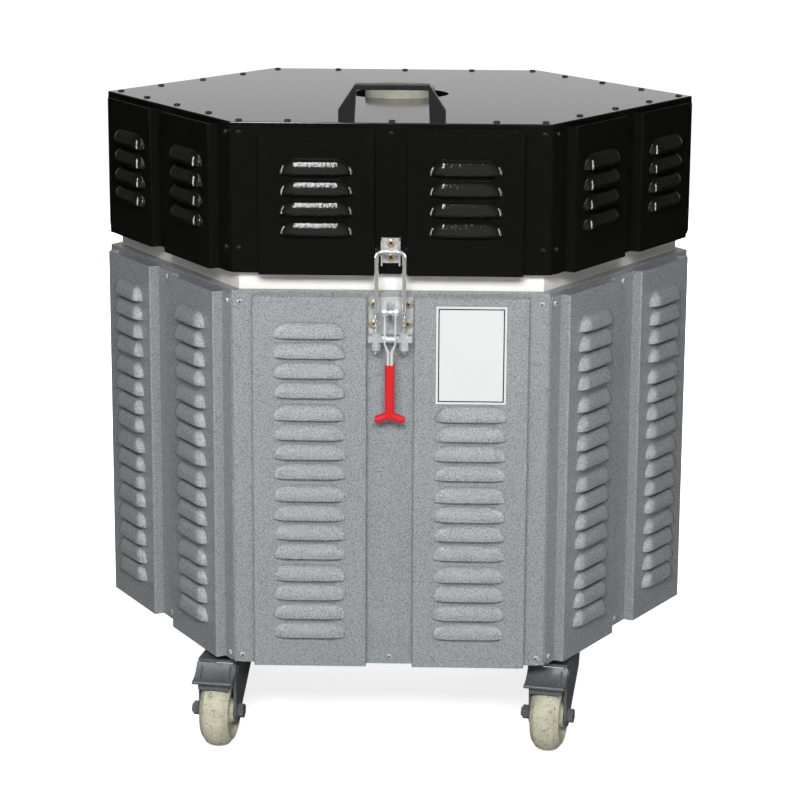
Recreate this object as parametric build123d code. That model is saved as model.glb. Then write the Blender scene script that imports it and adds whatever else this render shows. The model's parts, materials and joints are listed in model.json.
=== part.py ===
from build123d import *
import math
import os

# Electric kiln with a six-sided body, a hinged lid and four swivel casters.
# Millimetres, +Z up, front towards -Y. Heights are measured from the floor.
# Pieces on a side are drawn on the front side and turned about the middle of the kiln.
# On a side, u runs along it, z is the height and w is the distance outwards from the casing.

# Hexagon of the body and lid
side_length = 330.0
sides = 6
mitre_gap = 0.3
seat_gap = 0.3
hidden_fit = 0.3
long_cut = 300.0

# Heights
caster_height = 110.0
panel_height = 400.0
rim_rise = 4.0
lid_gap = 19.0
lid_panel_height = 151.5
lid_panel_drop = 2.5
lid_plate_thickness = 2.0

# Sheet metal
sheet = 1.2
ledge_width = 11.0
lid_lip_width = 20.0
rim_radius = 1.0

# Pressed panels
pan_depth = 11.0
pan_bend = 2.0
strip_corner_radius = 6.0
corner_gap = 1.0
seam_gap = 0.3
seam_offset = 10.0
body_end_strip = 21.5
body_mid_strip = 49.0
lid_end_strip = 28.5
lid_mid_strip = 33.5

# Louvres
louvre_width = 76.0
louvre_height = 16.5
louvre_depth = 7.0
louvre_pitch = 21.0
louvres_per_group = 4
louvre_groups = 4
louvre_group_step = 87.0
louvre_top_margin = 26.0
lid_louvre_top_margin = 30.5

# Panel screws
screw_radius = 2.0
screw_clearance = 0.1
screw_head_radius = 3.2
screw_head_height = 1.8
screw_edge = 8.5
body_screw_top = 7.5
body_screw_bottom = 8.0
lid_screw_top = 6.5
lid_screw_bottom = 25.5
screw_tip_gap = 0.1
plate_screw_head_radius = 3.7
plate_screw_head_height = 1.7
plate_screw_inset = 13.0
plate_screw_front_share = 0.325
plate_screw_side_share = 0.25
plate_screw_length = 6.0

# Blank plate on the front right panel
blank_plate_width = 73.0
blank_plate_height = 103.0
blank_plate_thickness = 0.8
blank_plate_middle = 340.0

# Base frame
frame_leg = 3.0
frame_height = 30.0
frame_foot = 30.0
rail_width = 60.0
rail_height = 20.0
floor_pan_thickness = 1.5

# Insulation
floor_board_thickness = 25.0
floor_brick_thickness = 65.0
floor_rebate = 6.0
floor_planks = 5
brick_joint = 0.4
wall_thickness = 100.0
wall_courses = 3
lid_brick_thickness = 100.0
lid_plank_half_width = 95.0
step_height = 1.5

# Heating elements and thermocouple
groove_height = 15.0
groove_depth = 14.0
groove_low = 20.0
groove_high = 62.0
coil_radius = 6.0
coil_corner_radius = 15.0
tail_radius = 2.0
tail_u = -10.0
link_u = 12.0
tube_radius = 5.0
tube_clearance = 0.2
tube_bore = 2.3
tail_reach = 16.0
tail_bend = 6.0
probe_u = 17.0
probe_height = 420.0
probe_reach = 30.0
probe_head_length = 14.0

# Connection box at the back
box_half_width = 55.0
box_flange = 11.0
box_low = 150.0
box_high = 506.0
box_depth = 56.0
box_sheet = 1.5
box_window_half_width = 21.0
box_window_margin = 10.0
block_width = 26.0
block_height = 62.0
block_depth = 24.0
block_edge = 24.0
terminal_radius = 3.0
gland_u = 22.0
gland_stand_off = 32.0
gland_bore = 5.5
gland_thread_radius = 8.0
gland_hex = 24.0
gland_fit = 0.1

# Hinges at the back
hinge_u = 103.0
hinge_length = 60.0
hinge_leaf = 2.5
hinge_leaf_height = 38.0
hinge_knuckle_radius = 5.0
hinge_pin_radius = 2.5
hinge_fit = 0.05
hinge_knuckles = 5
knuckle_gap = 0.4
hinge_clearance = 0.5
hinge_screw_spread = 20.0

# Vent plug in the lid
plate_hole_radius = 56.0
plug_radius = 39.0
plug_stem_radius = 25.4
plug_fit = 0.6
plug_proud = 10.0
plug_stem_length = 70.0
plug_x = 1.0
plug_y = -9.0

# Lid handle
handle_half_width = 55.2
handle_top_half_width = 38.0
handle_height = 38.5
handle_shoulder = 12.5
handle_opening_foot = 38.5
handle_opening_top = 37.0
handle_bar = 6.0
handle_depth = 14.0
handle_inset = 14.0
handle_bolt_radius = 3.0
handle_bolt_head = 6.0
handle_bolt_head_height = 4.0
handle_bolt_reach = 14.0
bolt_fit = 0.05

# Latch
latch_plate = 2.0
latch_base_width = 46.0
latch_base_height = 40.0
latch_base_shift = 0.4
latch_base_top_gap = 0.5
latch_screw_u = 17.5
latch_screw_z = 10.5
latch_screw_rise = 2.0
latch_screw_head = 5.2
ear_thickness = 1.5
ear_inside = 2.0
ear_low = 484.0
ear_high = 505.0
pivot_w = 21.0
pivot_z = 496.5
pivot_radius = 2.5
pivot_fit = 0.05
pivot_head_radius = 4.0
pivot_head = 1.5
yoke_w = 19.0
yoke_z = 467.5
yoke_pin_radius = 3.0
yoke_length = 45.0
yoke_height = 5.0
yoke_depth = 9.0
lever_plate = 1.6
lever_inside = 4.6
lever_width = 9.0
lever_neck_z = 461.0
lever_handle_inside = 0.4
lever_handle_outside = 3.3
lever_bend_drop = 4.0
lever_tang = 5.0
lever_end_z = 384.0
grip_top_z = 441.5
grip_half = 5.0
grip_depth = 9.5
grip_bottom_z = 388.0
wing_reach = 12.0
wing_drop = 4.5
wing_radius = 4.4
rod_radius = 2.25
loop_half_width = 14.25
loop_top_z = 559.0
loop_corner = 6.0
rod_end_z = 453.0
nut_flat = 8.0
nut_height = 4.4
nut_gap = 0.2
catch_half_width = 10.0
catch_low = 545.0
catch_high = 571.0
catch_flange = 1.6
catch_clearance = 0.8
catch_screw_radius = 5.0
catch_screw_low = 551.0
catch_screw_high = 566.0

# Casters
caster_side_offset = 16.0
caster_front_inset = 71.8
caster_yaws = {"front_left": -9.0, "front_right": -13.0, "rear_left": -35.0, "rear_right": 25.0}
braked = ["front_left", "front_right"]
wheel_radius = 40.0
wheel_width = 32.0
wheel_edge = 9.0
wheel_crown = 2.5
hub_width = 34.0
hub_radius = 12.0
axle_radius = 5.0
axle_fit = 0.06
trail = 30.0
fork_inside = 18.0
fork_sheet = 3.0
fork_leg_radius = 12.0
crown_low = 98.0
crown_back = 32.0
crown_rim = 20.0
race_radius = 20.0
top_plate_radius = 25.0
top_plate_low = 106.0
race_gap = 0.3
kingpin_radius = 6.0
kingpin_head_radius = 9.0
kingpin_head = 3.5
stem_clearance = 0.2
caster_nut_flat = 18.0
caster_nut_height = 10.0
axle_head_flat = 14.0
axle_head = 6.0
axle_nut = 8.0
pedal_half_width = 22.0
pedal_sheet = 2.2
pedal_low = 82.5
pedal_reach = 22.0
pedal_front_gap = 1.5
pedal_rise = 0.0
pedal_curl = 4.5
shoe_height = 6.0
shoe_depth = 3.0
shoe_low = 72.0
shoe_gap = 13.5
pedal_pin_radius = 3.0
pedal_pin_z = 89.0
pedal_pin_forward = 4.0
pedal_arm = 2.2
pedal_arm_gap = 1.0

# Worked out from the sizes above
half_side = side_length / 2
apothem = side_length * math.sqrt(3) / 2
body_low = caster_height
panel_top = body_low + panel_height
caster_x = half_side + caster_side_offset
caster_y = apothem - caster_front_inset
rim_z = panel_top + rim_rise
lid_low = rim_z + lid_gap
lid_panel_top = lid_low + lid_panel_height
plate_low = lid_panel_top + lid_panel_drop
plate_top = plate_low + lid_plate_thickness
pan_face = sheet + pan_depth
floor_pan_low = body_low + frame_height
board_low = floor_pan_low + floor_pan_thickness
floor_brick_low = board_low + floor_board_thickness
chamber_floor = floor_brick_low + floor_brick_thickness
wall_top = lid_low - seat_gap
course_height = (wall_top - chamber_floor) / wall_courses
brick_apothem = apothem - ledge_width
chamber_apothem = brick_apothem - wall_thickness
lid_brick_top = lid_low + lid_brick_thickness
coil_apothem = chamber_apothem + groove_depth / 2 + 0.5
groove_heights = [
    chamber_floor + course * course_height + rise
    for course in range(wall_courses)
    for rise in (groove_low, groove_high)
]
hinge_w = pan_face + hinge_knuckle_radius
hinge_z = (rim_z + lid_low) / 2
box_plate_w = pan_face
box_inner_w = box_plate_w + box_sheet
box_face_w = box_inner_w + box_depth
tail_w = box_inner_w + tail_reach
loop_w = yoke_w
catch_w = loop_w - rod_radius - catch_clearance
latch_base_middle = panel_top - latch_base_top_gap - latch_base_height / 2


def hexagon_prism(flat_distance, z_low, z_high):
    corner = flat_distance / math.cos(math.pi / sides)
    points = []
    for k in range(sides):
        angle = 2 * math.pi * k / sides
        points.append((corner * math.cos(angle), corner * math.sin(angle)))
    return Pos(0, 0, z_low) * extrude(Polygon(*points, align=None), z_high - z_low, dir=(0, 0, 1))


def on_side(shape, side):
    return Rot(0, 0, 60 * side) * shape


def at_face(u, z, w):
    return Plane(origin=(u, -(apothem + w), z), x_dir=(1, 0, 0), z_dir=(0, -1, 0))


def outward_box(u_low, u_high, z_low, z_high, w_low, w_high):
    block = Box(
        u_high - u_low,
        w_high - w_low,
        z_high - z_low,
        align=(Align.MIN, Align.MIN, Align.MIN),
    )
    return Pos(u_low, -(apothem + w_high), z_low) * block


def outward_cylinder(u, z, w_low, w_high, radius):
    rod = Cylinder(radius, w_high - w_low, align=(Align.CENTER, Align.CENTER, Align.MIN))
    return at_face(u, z, w_low) * rod


def section_along_side(points, u_low, u_high):
    # Points are (w, z) pairs.
    outline = [(-(apothem + w), z) for w, z in points]
    face = Plane.YZ * Polygon(*outline, align=None)
    return Pos(u_low, 0, 0) * extrude(face, u_high - u_low, dir=(1, 0, 0))


def side_wedge(gap):
    # The sixth of the plan that belongs to the front side, less half a gap at each mitre.
    reach = 2 * side_length
    shift = gap / (2 * math.sin(math.pi / sides))
    points = [(0, -shift), (-reach / 2, -reach * math.sqrt(3) / 2 - shift)]
    points.append((reach / 2, -reach * math.sqrt(3) / 2 - shift))
    return Pos(0, 0, -10) * extrude(Polygon(*points, align=None), 2000, dir=(0, 0, 1))


def screw(head_radius, head_height, shank_radius, shank_length):
    # Head seated at z = 0, shank pointing down.
    bottom_middle = (Align.CENTER, Align.CENTER, Align.MIN)
    head = Cylinder(head_radius, head_height, align=bottom_middle)
    rim = head.edges().group_by(Axis.Z)[-1]
    head = fillet(rim, 0.6 * head_height)
    shank = Cylinder(shank_radius, shank_length, align=(Align.CENTER, Align.CENTER, Align.MAX))
    return head + shank


def hex_nut(flat, height, bore):
    outline = RegularPolygon(flat / 2, 6, major_radius=False)
    return extrude(outline - Circle(bore), height)


# Louvres and panels


def louvre_form(radius, depth):
    # A half bonnet, x along it, y up and z outwards, open at y = 0.
    straight = louvre_width / 2 - louvre_height
    arc = EllipticalCenterArc((0, 0), radius, depth, start_angle=0, arc_size=90)
    quarter = make_face([Line((0, 0), (radius, 0)), arc, Line((0, depth), (0, 0))])
    middle = Pos(-straight, 0, 0) * extrude(Plane.YZ * quarter, 2 * straight, dir=(1, 0, 0))
    dome = revolve(Plane.XZ * quarter, Axis.Z, 180)
    return middle + [Pos(-straight, 0, 0) * dome, Pos(straight, 0, 0) * dome]


def louvre_heights(first_height, groups):
    heights = []
    for group in groups:
        for row in range(louvres_per_group):
            heights.append(first_height - group * louvre_group_step - row * louvre_pitch)
    return heights


def panel_sheet(left, z_low, z_high, end_strip, mid_strip, heights):
    outer_u = -half_side + corner_gap
    if left:
        seam_u = seam_offset - seam_gap / 2
        mirror = 1
    else:
        seam_u = -(seam_offset + seam_gap / 2)
        mirror = -1
    pan_start = -half_side + end_strip
    pan_end = -mid_strip / 2
    points = [
        (outer_u, 0),
        (pan_start + sheet, 0),
        (pan_start + sheet, pan_depth),
        (pan_end - sheet, pan_depth),
        (pan_end - sheet, 0),
        (seam_u, 0),
        (seam_u, sheet),
        (pan_end, sheet),
        (pan_end, pan_face),
        (pan_start, pan_face),
        (pan_start, sheet),
        (outer_u, sheet),
    ]
    outline = [(u, -(apothem + w)) for u, w in points]
    profile = Polygon(*outline, align=None)
    bends = [v for v in profile.vertices() if abs(v.Y + apothem + pan_face) < 0.01]
    profile = fillet(bends, pan_bend)
    pressed = Pos(0, 0, z_low) * extrude(profile, z_high - z_low, dir=(0, 0, 1))
    corners = pressed.edges().filter_by(Axis.Y)
    corners = [e for e in corners if abs(e.center().X - outer_u) < 0.01]
    pressed = fillet(corners, strip_corner_radius)
    if heights:
        middle_u = (pan_start + pan_end) / 2
        outer = louvre_form(louvre_height, louvre_depth + sheet)
        inner = louvre_form(louvre_height - sheet, louvre_depth)
        places = [at_face(middle_u, z_low + height, pan_depth) for height in heights]
        pressed = pressed + [place * outer for place in places]
        pressed = pressed - [place * inner for place in places]
    if mirror == -1:
        pressed = pressed.mirror(Plane.YZ)
    return pressed


all_groups = range(louvre_groups)
louvre_first_height = panel_height - louvre_top_margin - louvre_height
lid_louvre_first_height = lid_panel_height - lid_louvre_top_margin - louvre_height
body_rows = louvre_heights(louvre_first_height, all_groups)
lower_rows = louvre_heights(louvre_first_height, all_groups[1:])
lid_rows = louvre_heights(lid_louvre_first_height, [0])


def body_sheet(left, heights):
    return panel_sheet(left, body_low, panel_top, body_end_strip, body_mid_strip, heights)


def lid_sheet(left):
    return panel_sheet(left, lid_low, lid_panel_top, lid_end_strip, lid_mid_strip, lid_rows)


body_screw_rows = (body_low + body_screw_bottom, panel_top - body_screw_top)
lid_screw_rows = (lid_low + lid_screw_bottom, lid_panel_top - lid_screw_top)
corner_screw_u = half_side - screw_edge


def body_screw_places(side):
    places = []
    for z in body_screw_rows:
        for u in (-corner_screw_u, corner_screw_u):
            places.append((u, z))
    places.append((0, body_screw_rows[0]))
    if side != 0:
        places.append((0, body_screw_rows[1]))
    return places


def lid_screw_places():
    places = [(0, lid_screw_rows[1])]
    for z in lid_screw_rows:
        for u in (-corner_screw_u, corner_screw_u):
            places.append((u, z))
    return places


def screw_holes(places, radius):
    return [outward_cylinder(u, z, -5, 5, radius) for u, z in places]


hole_radius = screw_radius + screw_clearance
panel_screw = screw(screw_head_radius, screw_head_height, screw_radius, 2 * sheet - screw_tip_gap)


def panel_screw_group(places, side):
    return [on_side(at_face(u, z, sheet) * panel_screw, side) for u, z in places]


# Latch and connection holes that pass through the front and back sheets


latch_screw_places = [
    (latch_base_shift + du, latch_base_middle + latch_screw_rise + dz)
    for du in (-latch_screw_u, latch_screw_u)
    for dz in (-latch_screw_z, latch_screw_z)
]
catch_screw_places = [(0, catch_screw_low), (0, catch_screw_high)]
tail_holes = [
    outward_cylinder(tail_u, z, -wall_thickness - 20, 5, tube_radius + tube_clearance)
    for z in groove_heights
]
probe_hole = outward_cylinder(
    probe_u, probe_height, -wall_thickness - 20, 5, tube_radius + tube_clearance
)
front_holes = screw_holes(body_screw_places(0) + latch_screw_places, hole_radius)
side_holes = screw_holes(body_screw_places(1), hole_radius)
back_holes = side_holes + tail_holes + [probe_hole]
lid_holes = screw_holes(lid_screw_places(), hole_radius)
lid_front_holes = lid_holes + screw_holes(catch_screw_places, hole_radius)

front_left = body_sheet(True, body_rows)
front_right = body_sheet(False, lower_rows)
side_pair = [front_left - side_holes, body_sheet(False, body_rows) - side_holes]
back_pair = [body_sheet(True, []) - back_holes, body_sheet(False, []) - back_holes]
lid_pair = [lid_sheet(True) - lid_holes, lid_sheet(False) - lid_holes]
lid_front_pair = [sheet_half - lid_front_holes for sheet_half in lid_pair]

body_panel_front_left = front_left - front_holes
body_panel_front_right = front_right - front_holes
body_panels_sides = [on_side(half, side) for side in (1, 2, 4, 5) for half in side_pair]
body_panels_sides += [on_side(half, 3) for half in back_pair]
lid_panels_sides = [on_side(half, side) for side in range(1, sides) for half in lid_pair]

# Body casing, frame and floor


def casing_sheet():
    points = [
        (0, body_low),
        (0, rim_z),
        (-ledge_width, rim_z),
        (-ledge_width, rim_z - sheet),
        (-sheet, rim_z - sheet),
        (-sheet, body_low),
    ]
    folded = section_along_side(points, -side_length, side_length)
    edge = folded.edges().filter_by(Axis.X).group_by(Axis.Z)[-1].sort_by(Axis.Y)[0]
    folded = fillet(edge, rim_radius)
    return folded & side_wedge(mitre_gap)


def base_frame_set():
    # Six angle bars and two channel rails, welded where they meet.
    outer = apothem - sheet
    angle_points = [
        (-sheet, body_low),
        (-sheet, floor_pan_low),
        (-sheet - frame_leg, floor_pan_low),
        (-sheet - frame_leg, body_low + frame_leg),
        (-sheet - frame_foot, body_low + frame_leg),
        (-sheet - frame_foot, body_low),
    ]
    angle_bar = section_along_side(angle_points, -side_length, side_length) & side_wedge(mitre_gap)
    holes = []
    for x in (-caster_x, caster_x):
        for y in (-caster_y, caster_y):
            hole = Cylinder(kingpin_radius + stem_clearance, 3 * frame_leg)
            holes.append(Pos(x, y, body_low) * hole)
    bars = [on_side(angle_bar, side) - holes for side in range(sides)]
    inside = hexagon_prism(outer - frame_leg - mitre_gap, body_low, floor_pan_low)
    feet = hexagon_prism(outer, body_low - 1, body_low + frame_leg + mitre_gap)
    feet -= hexagon_prism(outer - frame_foot - mitre_gap, body_low - 2, body_low + 2 * frame_leg)
    for x in (-caster_x, caster_x):
        channel = Box(rail_width, 2 * apothem, rail_height, align=(Align.CENTER, Align.CENTER, Align.MIN))
        hollow = Box(
            rail_width - 2 * frame_leg,
            2 * apothem,
            rail_height,
            align=(Align.CENTER, Align.CENTER, Align.MIN),
        )
        rail = Pos(x, 0, body_low) * channel - Pos(x, 0, body_low + frame_leg) * hollow
        bars.append((rail & inside) - feet - holes)
    return bars


casing = casing_sheet()
inner_casing = [on_side(casing - front_holes, 0)]
inner_casing += [on_side(casing - side_holes, side) for side in (1, 2, 4, 5)]
inner_casing += [on_side(casing - back_holes, 3)]
base_frame = base_frame_set()
floor_pan = hexagon_prism(apothem - sheet - hidden_fit, floor_pan_low, board_low)
floor_board = hexagon_prism(apothem - sheet - hidden_fit, board_low, floor_brick_low)

# Bricks


def planks(slab, cuts):
    # Splits a slab with thin joints at the given x places.
    edges = [-side_length] + cuts + [side_length]
    pieces = []
    for low, high in zip(edges[:-1], edges[1:]):
        width = high - low - brick_joint
        cutter = Box(width, 3 * side_length, 2000)
        pieces.append(slab & (Pos((low + high) / 2, 0, 0) * cutter))
    return pieces


def floor_brick_planks():
    # The walls stand in a rebate round the edge, so the raised middle is the chamber's floor.
    slab = hexagon_prism(brick_apothem - hidden_fit, floor_brick_low, chamber_floor - floor_rebate)
    slab += hexagon_prism(chamber_apothem - brick_joint, floor_brick_low, chamber_floor)
    width = 2 * side_length / floor_planks
    return planks(slab, [-side_length + width * k for k in range(1, floor_planks)])


def wall_brick(course, back):
    low = chamber_floor + course * course_height
    high = low + course_height - brick_joint
    if course == 0:
        low -= floor_rebate
    if course == wall_courses - 1:
        high = wall_top
    points = [
        (-ledge_width - hidden_fit, low),
        (-ledge_width - hidden_fit, high),
        (-ledge_width - wall_thickness, high),
        (-ledge_width - wall_thickness, low),
    ]
    brick = section_along_side(points, -side_length, side_length) & side_wedge(brick_joint)
    face_w = -ledge_width - wall_thickness
    grooves = []
    for z in groove_heights[2 * course:2 * course + 2]:
        grooves.append((-side_length, side_length, z - groove_height / 2, z + groove_height / 2))
    if back:
        link_low, link_high = groove_heights[2 * course:2 * course + 2]
        grooves.append((link_u - groove_height / 2, link_u + groove_height / 2, link_low, link_high))
        brick -= tail_holes + [probe_hole]
    cutters = [outward_box(*groove, face_w - 1, face_w + groove_depth) for groove in grooves]
    return brick - cutters


def wall_brick_set():
    bricks = []
    for course in range(wall_courses):
        plain = wall_brick(course, False)
        for side in (0, 1, 2, 4, 5):
            bricks.append(on_side(plain, side))
        bricks.append(on_side(wall_brick(course, True), 3))
    return bricks


def wall_blanket_shape():
    outside = apothem - sheet - hidden_fit
    top = rim_z - sheet - hidden_fit
    blanket = hexagon_prism(outside, floor_brick_low, top)
    blanket -= hexagon_prism(brick_apothem, floor_brick_low - 1, top + 1)
    for hole in tail_holes + [probe_hole]:
        blanket -= on_side(hole, 3)
    return blanket


floor_bricks = floor_brick_planks()
wall_bricks = wall_brick_set()
wall_blanket = wall_blanket_shape()

# Heating elements, their tubes and the thermocouple


def element(z_low, z_high):
    # Two turns round the chamber with a link between them, seen with the back side at the front.
    corner = coil_apothem / math.cos(math.pi / sides)
    turn = []
    for k in range(sides):
        angle = math.radians(-60 + 60 * k)
        turn.append((corner * math.cos(angle), corner * math.sin(angle)))
    start = (tail_u, -coil_apothem)
    end = (link_u, -coil_apothem)
    low_turn = [(end[0], end[1], z_low)] + [(x, y, z_low) for x, y in turn] + [(*start, z_low)]
    high_turn = [(end[0], end[1], z_high)] + [(x, y, z_high) for x, y in turn] + [(*start, z_high)]
    coil = None
    for points in (low_turn, high_turn):
        path = FilletPolyline(*points, radius=coil_corner_radius)
        rod = sweep(Plane(origin=points[0], z_dir=path % 0) * Circle(coil_radius), path=path)
        coil = rod if coil is None else coil + rod
    link = Cylinder(coil_radius, z_high - z_low, align=(Align.CENTER, Align.CENTER, Align.MIN))
    coil += Pos(link_u, -coil_apothem, z_low) * link
    coil += Pos(link_u, -coil_apothem, z_low) * Sphere(coil_radius)
    coil += Pos(link_u, -coil_apothem, z_high) * Sphere(coil_radius)
    for z in (z_low, z_high):
        points = [
            (tail_u, -coil_apothem + 1, z),
            (tail_u, -(apothem + tail_w), z),
            (block_edge + block_width / 2, -(apothem + tail_w), z),
        ]
        path = FilletPolyline(*points, radius=tail_bend)
        coil += sweep(Plane(origin=points[0], z_dir=path % 0) * Circle(tail_radius), path=path)
    return on_side(coil, 3)


def tube(z):
    w_low = -ledge_width - wall_thickness + groove_depth + hidden_fit
    sleeve = outward_cylinder(tail_u, z, w_low, box_inner_w, tube_radius)
    sleeve -= outward_cylinder(tail_u, z, w_low - 1, box_inner_w + 1, tube_bore)
    return on_side(sleeve, 3)


def thermocouple_shape():
    w_tip = -ledge_width - wall_thickness - probe_reach
    sheath = outward_cylinder(probe_u, probe_height, w_tip, box_inner_w, tube_radius)
    tip = sheath.edges().filter_by(GeomType.CIRCLE).sort_by(Axis.Y)[-1]
    sheath = fillet(tip, tube_radius * 0.8)
    head = outward_cylinder(
        probe_u, probe_height, box_inner_w, box_inner_w + probe_head_length, tube_radius * 1.6
    )
    return on_side(sheath + head, 3)


heating_elements = [
    element(groove_heights[2 * k], groove_heights[2 * k + 1]) for k in range(wall_courses)
]
element_tubes = [tube(z) for z in groove_heights]
thermocouple = thermocouple_shape()

# Connection box


box_flange_middle = box_half_width + box_flange / 2
box_screw_places = [
    (u, z)
    for u in (-box_flange_middle, box_flange_middle)
    for z in (box_low + 20, (box_low + box_high) / 2, box_high - 40)
]


def connection_plate_shape():
    edge = box_half_width + box_flange
    plate = outward_box(-edge, edge, box_low, box_high, box_plate_w, box_inner_w)
    window = outward_box(
        -box_window_half_width,
        box_window_half_width,
        box_low + box_window_margin,
        box_high - box_window_margin / 2,
        box_plate_w - 1,
        box_inner_w + 1,
    )
    holes = [outward_cylinder(u, z, box_plate_w - 1, box_inner_w + 1, hole_radius) for u, z in box_screw_places]
    return on_side(plate - window - holes, 3)


def connection_cover_shape():
    shell = outward_box(-box_half_width, box_half_width, box_low, box_high, box_inner_w, box_face_w)
    upright = shell.edges().filter_by(Axis.Z)
    front_edges = upright.group_by(Axis.Y)[0]
    shell = fillet(front_edges, 4)
    inner = box_half_width - box_sheet
    shell -= outward_box(
        -inner, inner, box_low + box_sheet, box_high - box_sheet, box_inner_w - 1, box_face_w - box_sheet
    )
    edge = box_half_width + box_flange
    for u_low, u_high in ((-edge, -inner), (inner, edge)):
        shell += outward_box(u_low, u_high, box_low, box_high, box_inner_w, box_inner_w + box_sheet)
    for u, z in box_screw_places:
        shell -= outward_cylinder(u, z, box_inner_w - 1, box_inner_w + 5, hole_radius)
    hole = Cylinder(gland_thread_radius + gland_fit, 4 * box_sheet)
    shell -= Pos(gland_u, -(apothem + box_inner_w + gland_stand_off), box_low) * hole
    return on_side(shell, 3)


def terminal_block(index):
    middle = (groove_heights[2 * index] + groove_heights[2 * index + 1]) / 2
    block = outward_box(
        block_edge,
        block_edge + block_width,
        middle - block_height / 2,
        middle + block_height / 2,
        box_inner_w,
        box_inner_w + block_depth,
    )
    for z in groove_heights[2 * index:2 * index + 2]:
        wire_hole = Cylinder(tail_radius + 0.2, block_width / 2 + 1, rotation=(0, 90, 0))
        block -= Pos(block_edge + block_width / 4 + 0.5, -(apothem + tail_w), z) * wire_hole
        block -= outward_cylinder(
            block_edge + block_width * 0.3, z, tail_w + tail_radius + 0.2, box_inner_w + block_depth + 1,
            terminal_radius + 0.1,
        )
    return on_side(block, 3)


def terminal_screw(z):
    seat = tail_w + tail_radius + 0.2
    shank = outward_cylinder(
        block_edge + block_width * 0.3, z, seat, box_inner_w + block_depth + 2, terminal_radius
    )
    return on_side(shank, 3)


def cable_gland_shape():
    body = Cylinder(gland_thread_radius, 16, align=(Align.CENTER, Align.CENTER, Align.MIN))
    body = Pos(0, 0, -6) * body
    upper_nut = extrude(RegularPolygon(gland_hex / 2, 6, major_radius=False), 5)
    lower_nut = extrude(RegularPolygon(gland_hex / 2, 6, major_radius=False), -6)
    dome = Pos(0, 0, -6) * Cylinder(gland_hex / 2 - 1, 12, align=(Align.CENTER, Align.CENTER, Align.MAX))
    end = dome.edges().group_by(Axis.Z)[0]
    dome = fillet(end, 4)
    gland = body + Pos(0, 0, box_sheet) * upper_nut + lower_nut + dome
    gland -= Cylinder(gland_bore, 80)
    return on_side(Pos(gland_u, -(apothem + box_inner_w + gland_stand_off), box_low) * gland, 3)


connection_plate = connection_plate_shape()
connection_cover = connection_cover_shape()
terminal_blocks = [terminal_block(k) for k in range(wall_courses)]
terminal_screws = [terminal_screw(z) for z in groove_heights]
cable_gland = cable_gland_shape()

# Hinges


def knuckle_span(index):
    step = hinge_length / hinge_knuckles
    low = -hinge_length / 2 + index * step
    return low + knuckle_gap / 2, low + step - knuckle_gap / 2


def hinge_leaf_shape(lid_half):
    # The body has the odd knuckles and the lid the even ones.
    if lid_half:
        z_far = hinge_z + hinge_leaf_height
        z_near = hinge_z + hinge_knuckle_radius + hinge_clearance
        own = [k for k in range(hinge_knuckles) if k % 2 == 1]
    else:
        z_far = hinge_z - hinge_leaf_height
        z_near = hinge_z - hinge_knuckle_radius - hinge_clearance
        own = [k for k in range(hinge_knuckles) if k % 2 == 0]
    z_low, z_high = min(z_far, z_near), max(z_far, z_near)
    half = hinge_length / 2
    leaf = outward_box(-half, half, z_low, z_high, pan_face, pan_face + hinge_leaf)
    for k in own:
        low, high = knuckle_span(k)
        arm_low, arm_high = min(hinge_z, z_far), max(hinge_z, z_far)
        leaf += outward_box(low, high, arm_low, arm_high, pan_face, pan_face + hinge_leaf)
        barrel = Cylinder(hinge_knuckle_radius, high - low, rotation=(0, 90, 0))
        leaf += Pos((low + high) / 2, -(apothem + hinge_w), hinge_z) * barrel
    bore = Cylinder(hinge_pin_radius + hinge_fit, 2 * hinge_length, rotation=(0, 90, 0))
    leaf -= Pos(0, -(apothem + hinge_w), hinge_z) * bore
    return leaf


def hinge_screw_places(lid_half):
    middle = hinge_z + (1 if lid_half else -1) * (hinge_leaf_height + hinge_knuckle_radius) / 2
    return [(du, middle) for du in (-hinge_screw_spread, 0, hinge_screw_spread)]


def hinge_half(lid_half):
    leaf = hinge_leaf_shape(lid_half)
    for u, z in hinge_screw_places(lid_half):
        leaf -= outward_cylinder(u, z, 0, 30, hole_radius)
    return [on_side(Pos(u, 0, 0) * leaf, 3) for u in (-hinge_u, hinge_u)]


def hinge_screw_set(lid_half):
    fastener = screw(screw_head_radius, screw_head_height, screw_radius, hinge_leaf + sheet + 0.5)
    places = hinge_screw_places(lid_half)
    screws = []
    for middle in (-hinge_u, hinge_u):
        for u, z in places:
            screws.append(on_side(at_face(middle + u, z, pan_face + hinge_leaf) * fastener, 3))
    return screws


def pan_face_holes(lid_half):
    holes = []
    for middle in (-hinge_u, hinge_u):
        for u, z in hinge_screw_places(lid_half):
            holes.append(on_side(outward_cylinder(middle + u, z, 5, 30, hole_radius), 3))
    return holes


def hinge_pin(u):
    pin = Cylinder(hinge_pin_radius, hinge_length, rotation=(0, 90, 0))
    ends = []
    for sign in (-1, 1):
        head = Cylinder(hinge_knuckle_radius - 1, 1.5, rotation=(0, 90, 0))
        ends.append(Pos(sign * (hinge_length / 2 + 0.75 + knuckle_gap / 2), 0, 0) * head)
    pin = pin + ends
    neck = Cylinder(hinge_pin_radius, hinge_length + 2, rotation=(0, 90, 0))
    return on_side(Pos(u, -(apothem + hinge_w), hinge_z) * (pin + neck), 3)


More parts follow.
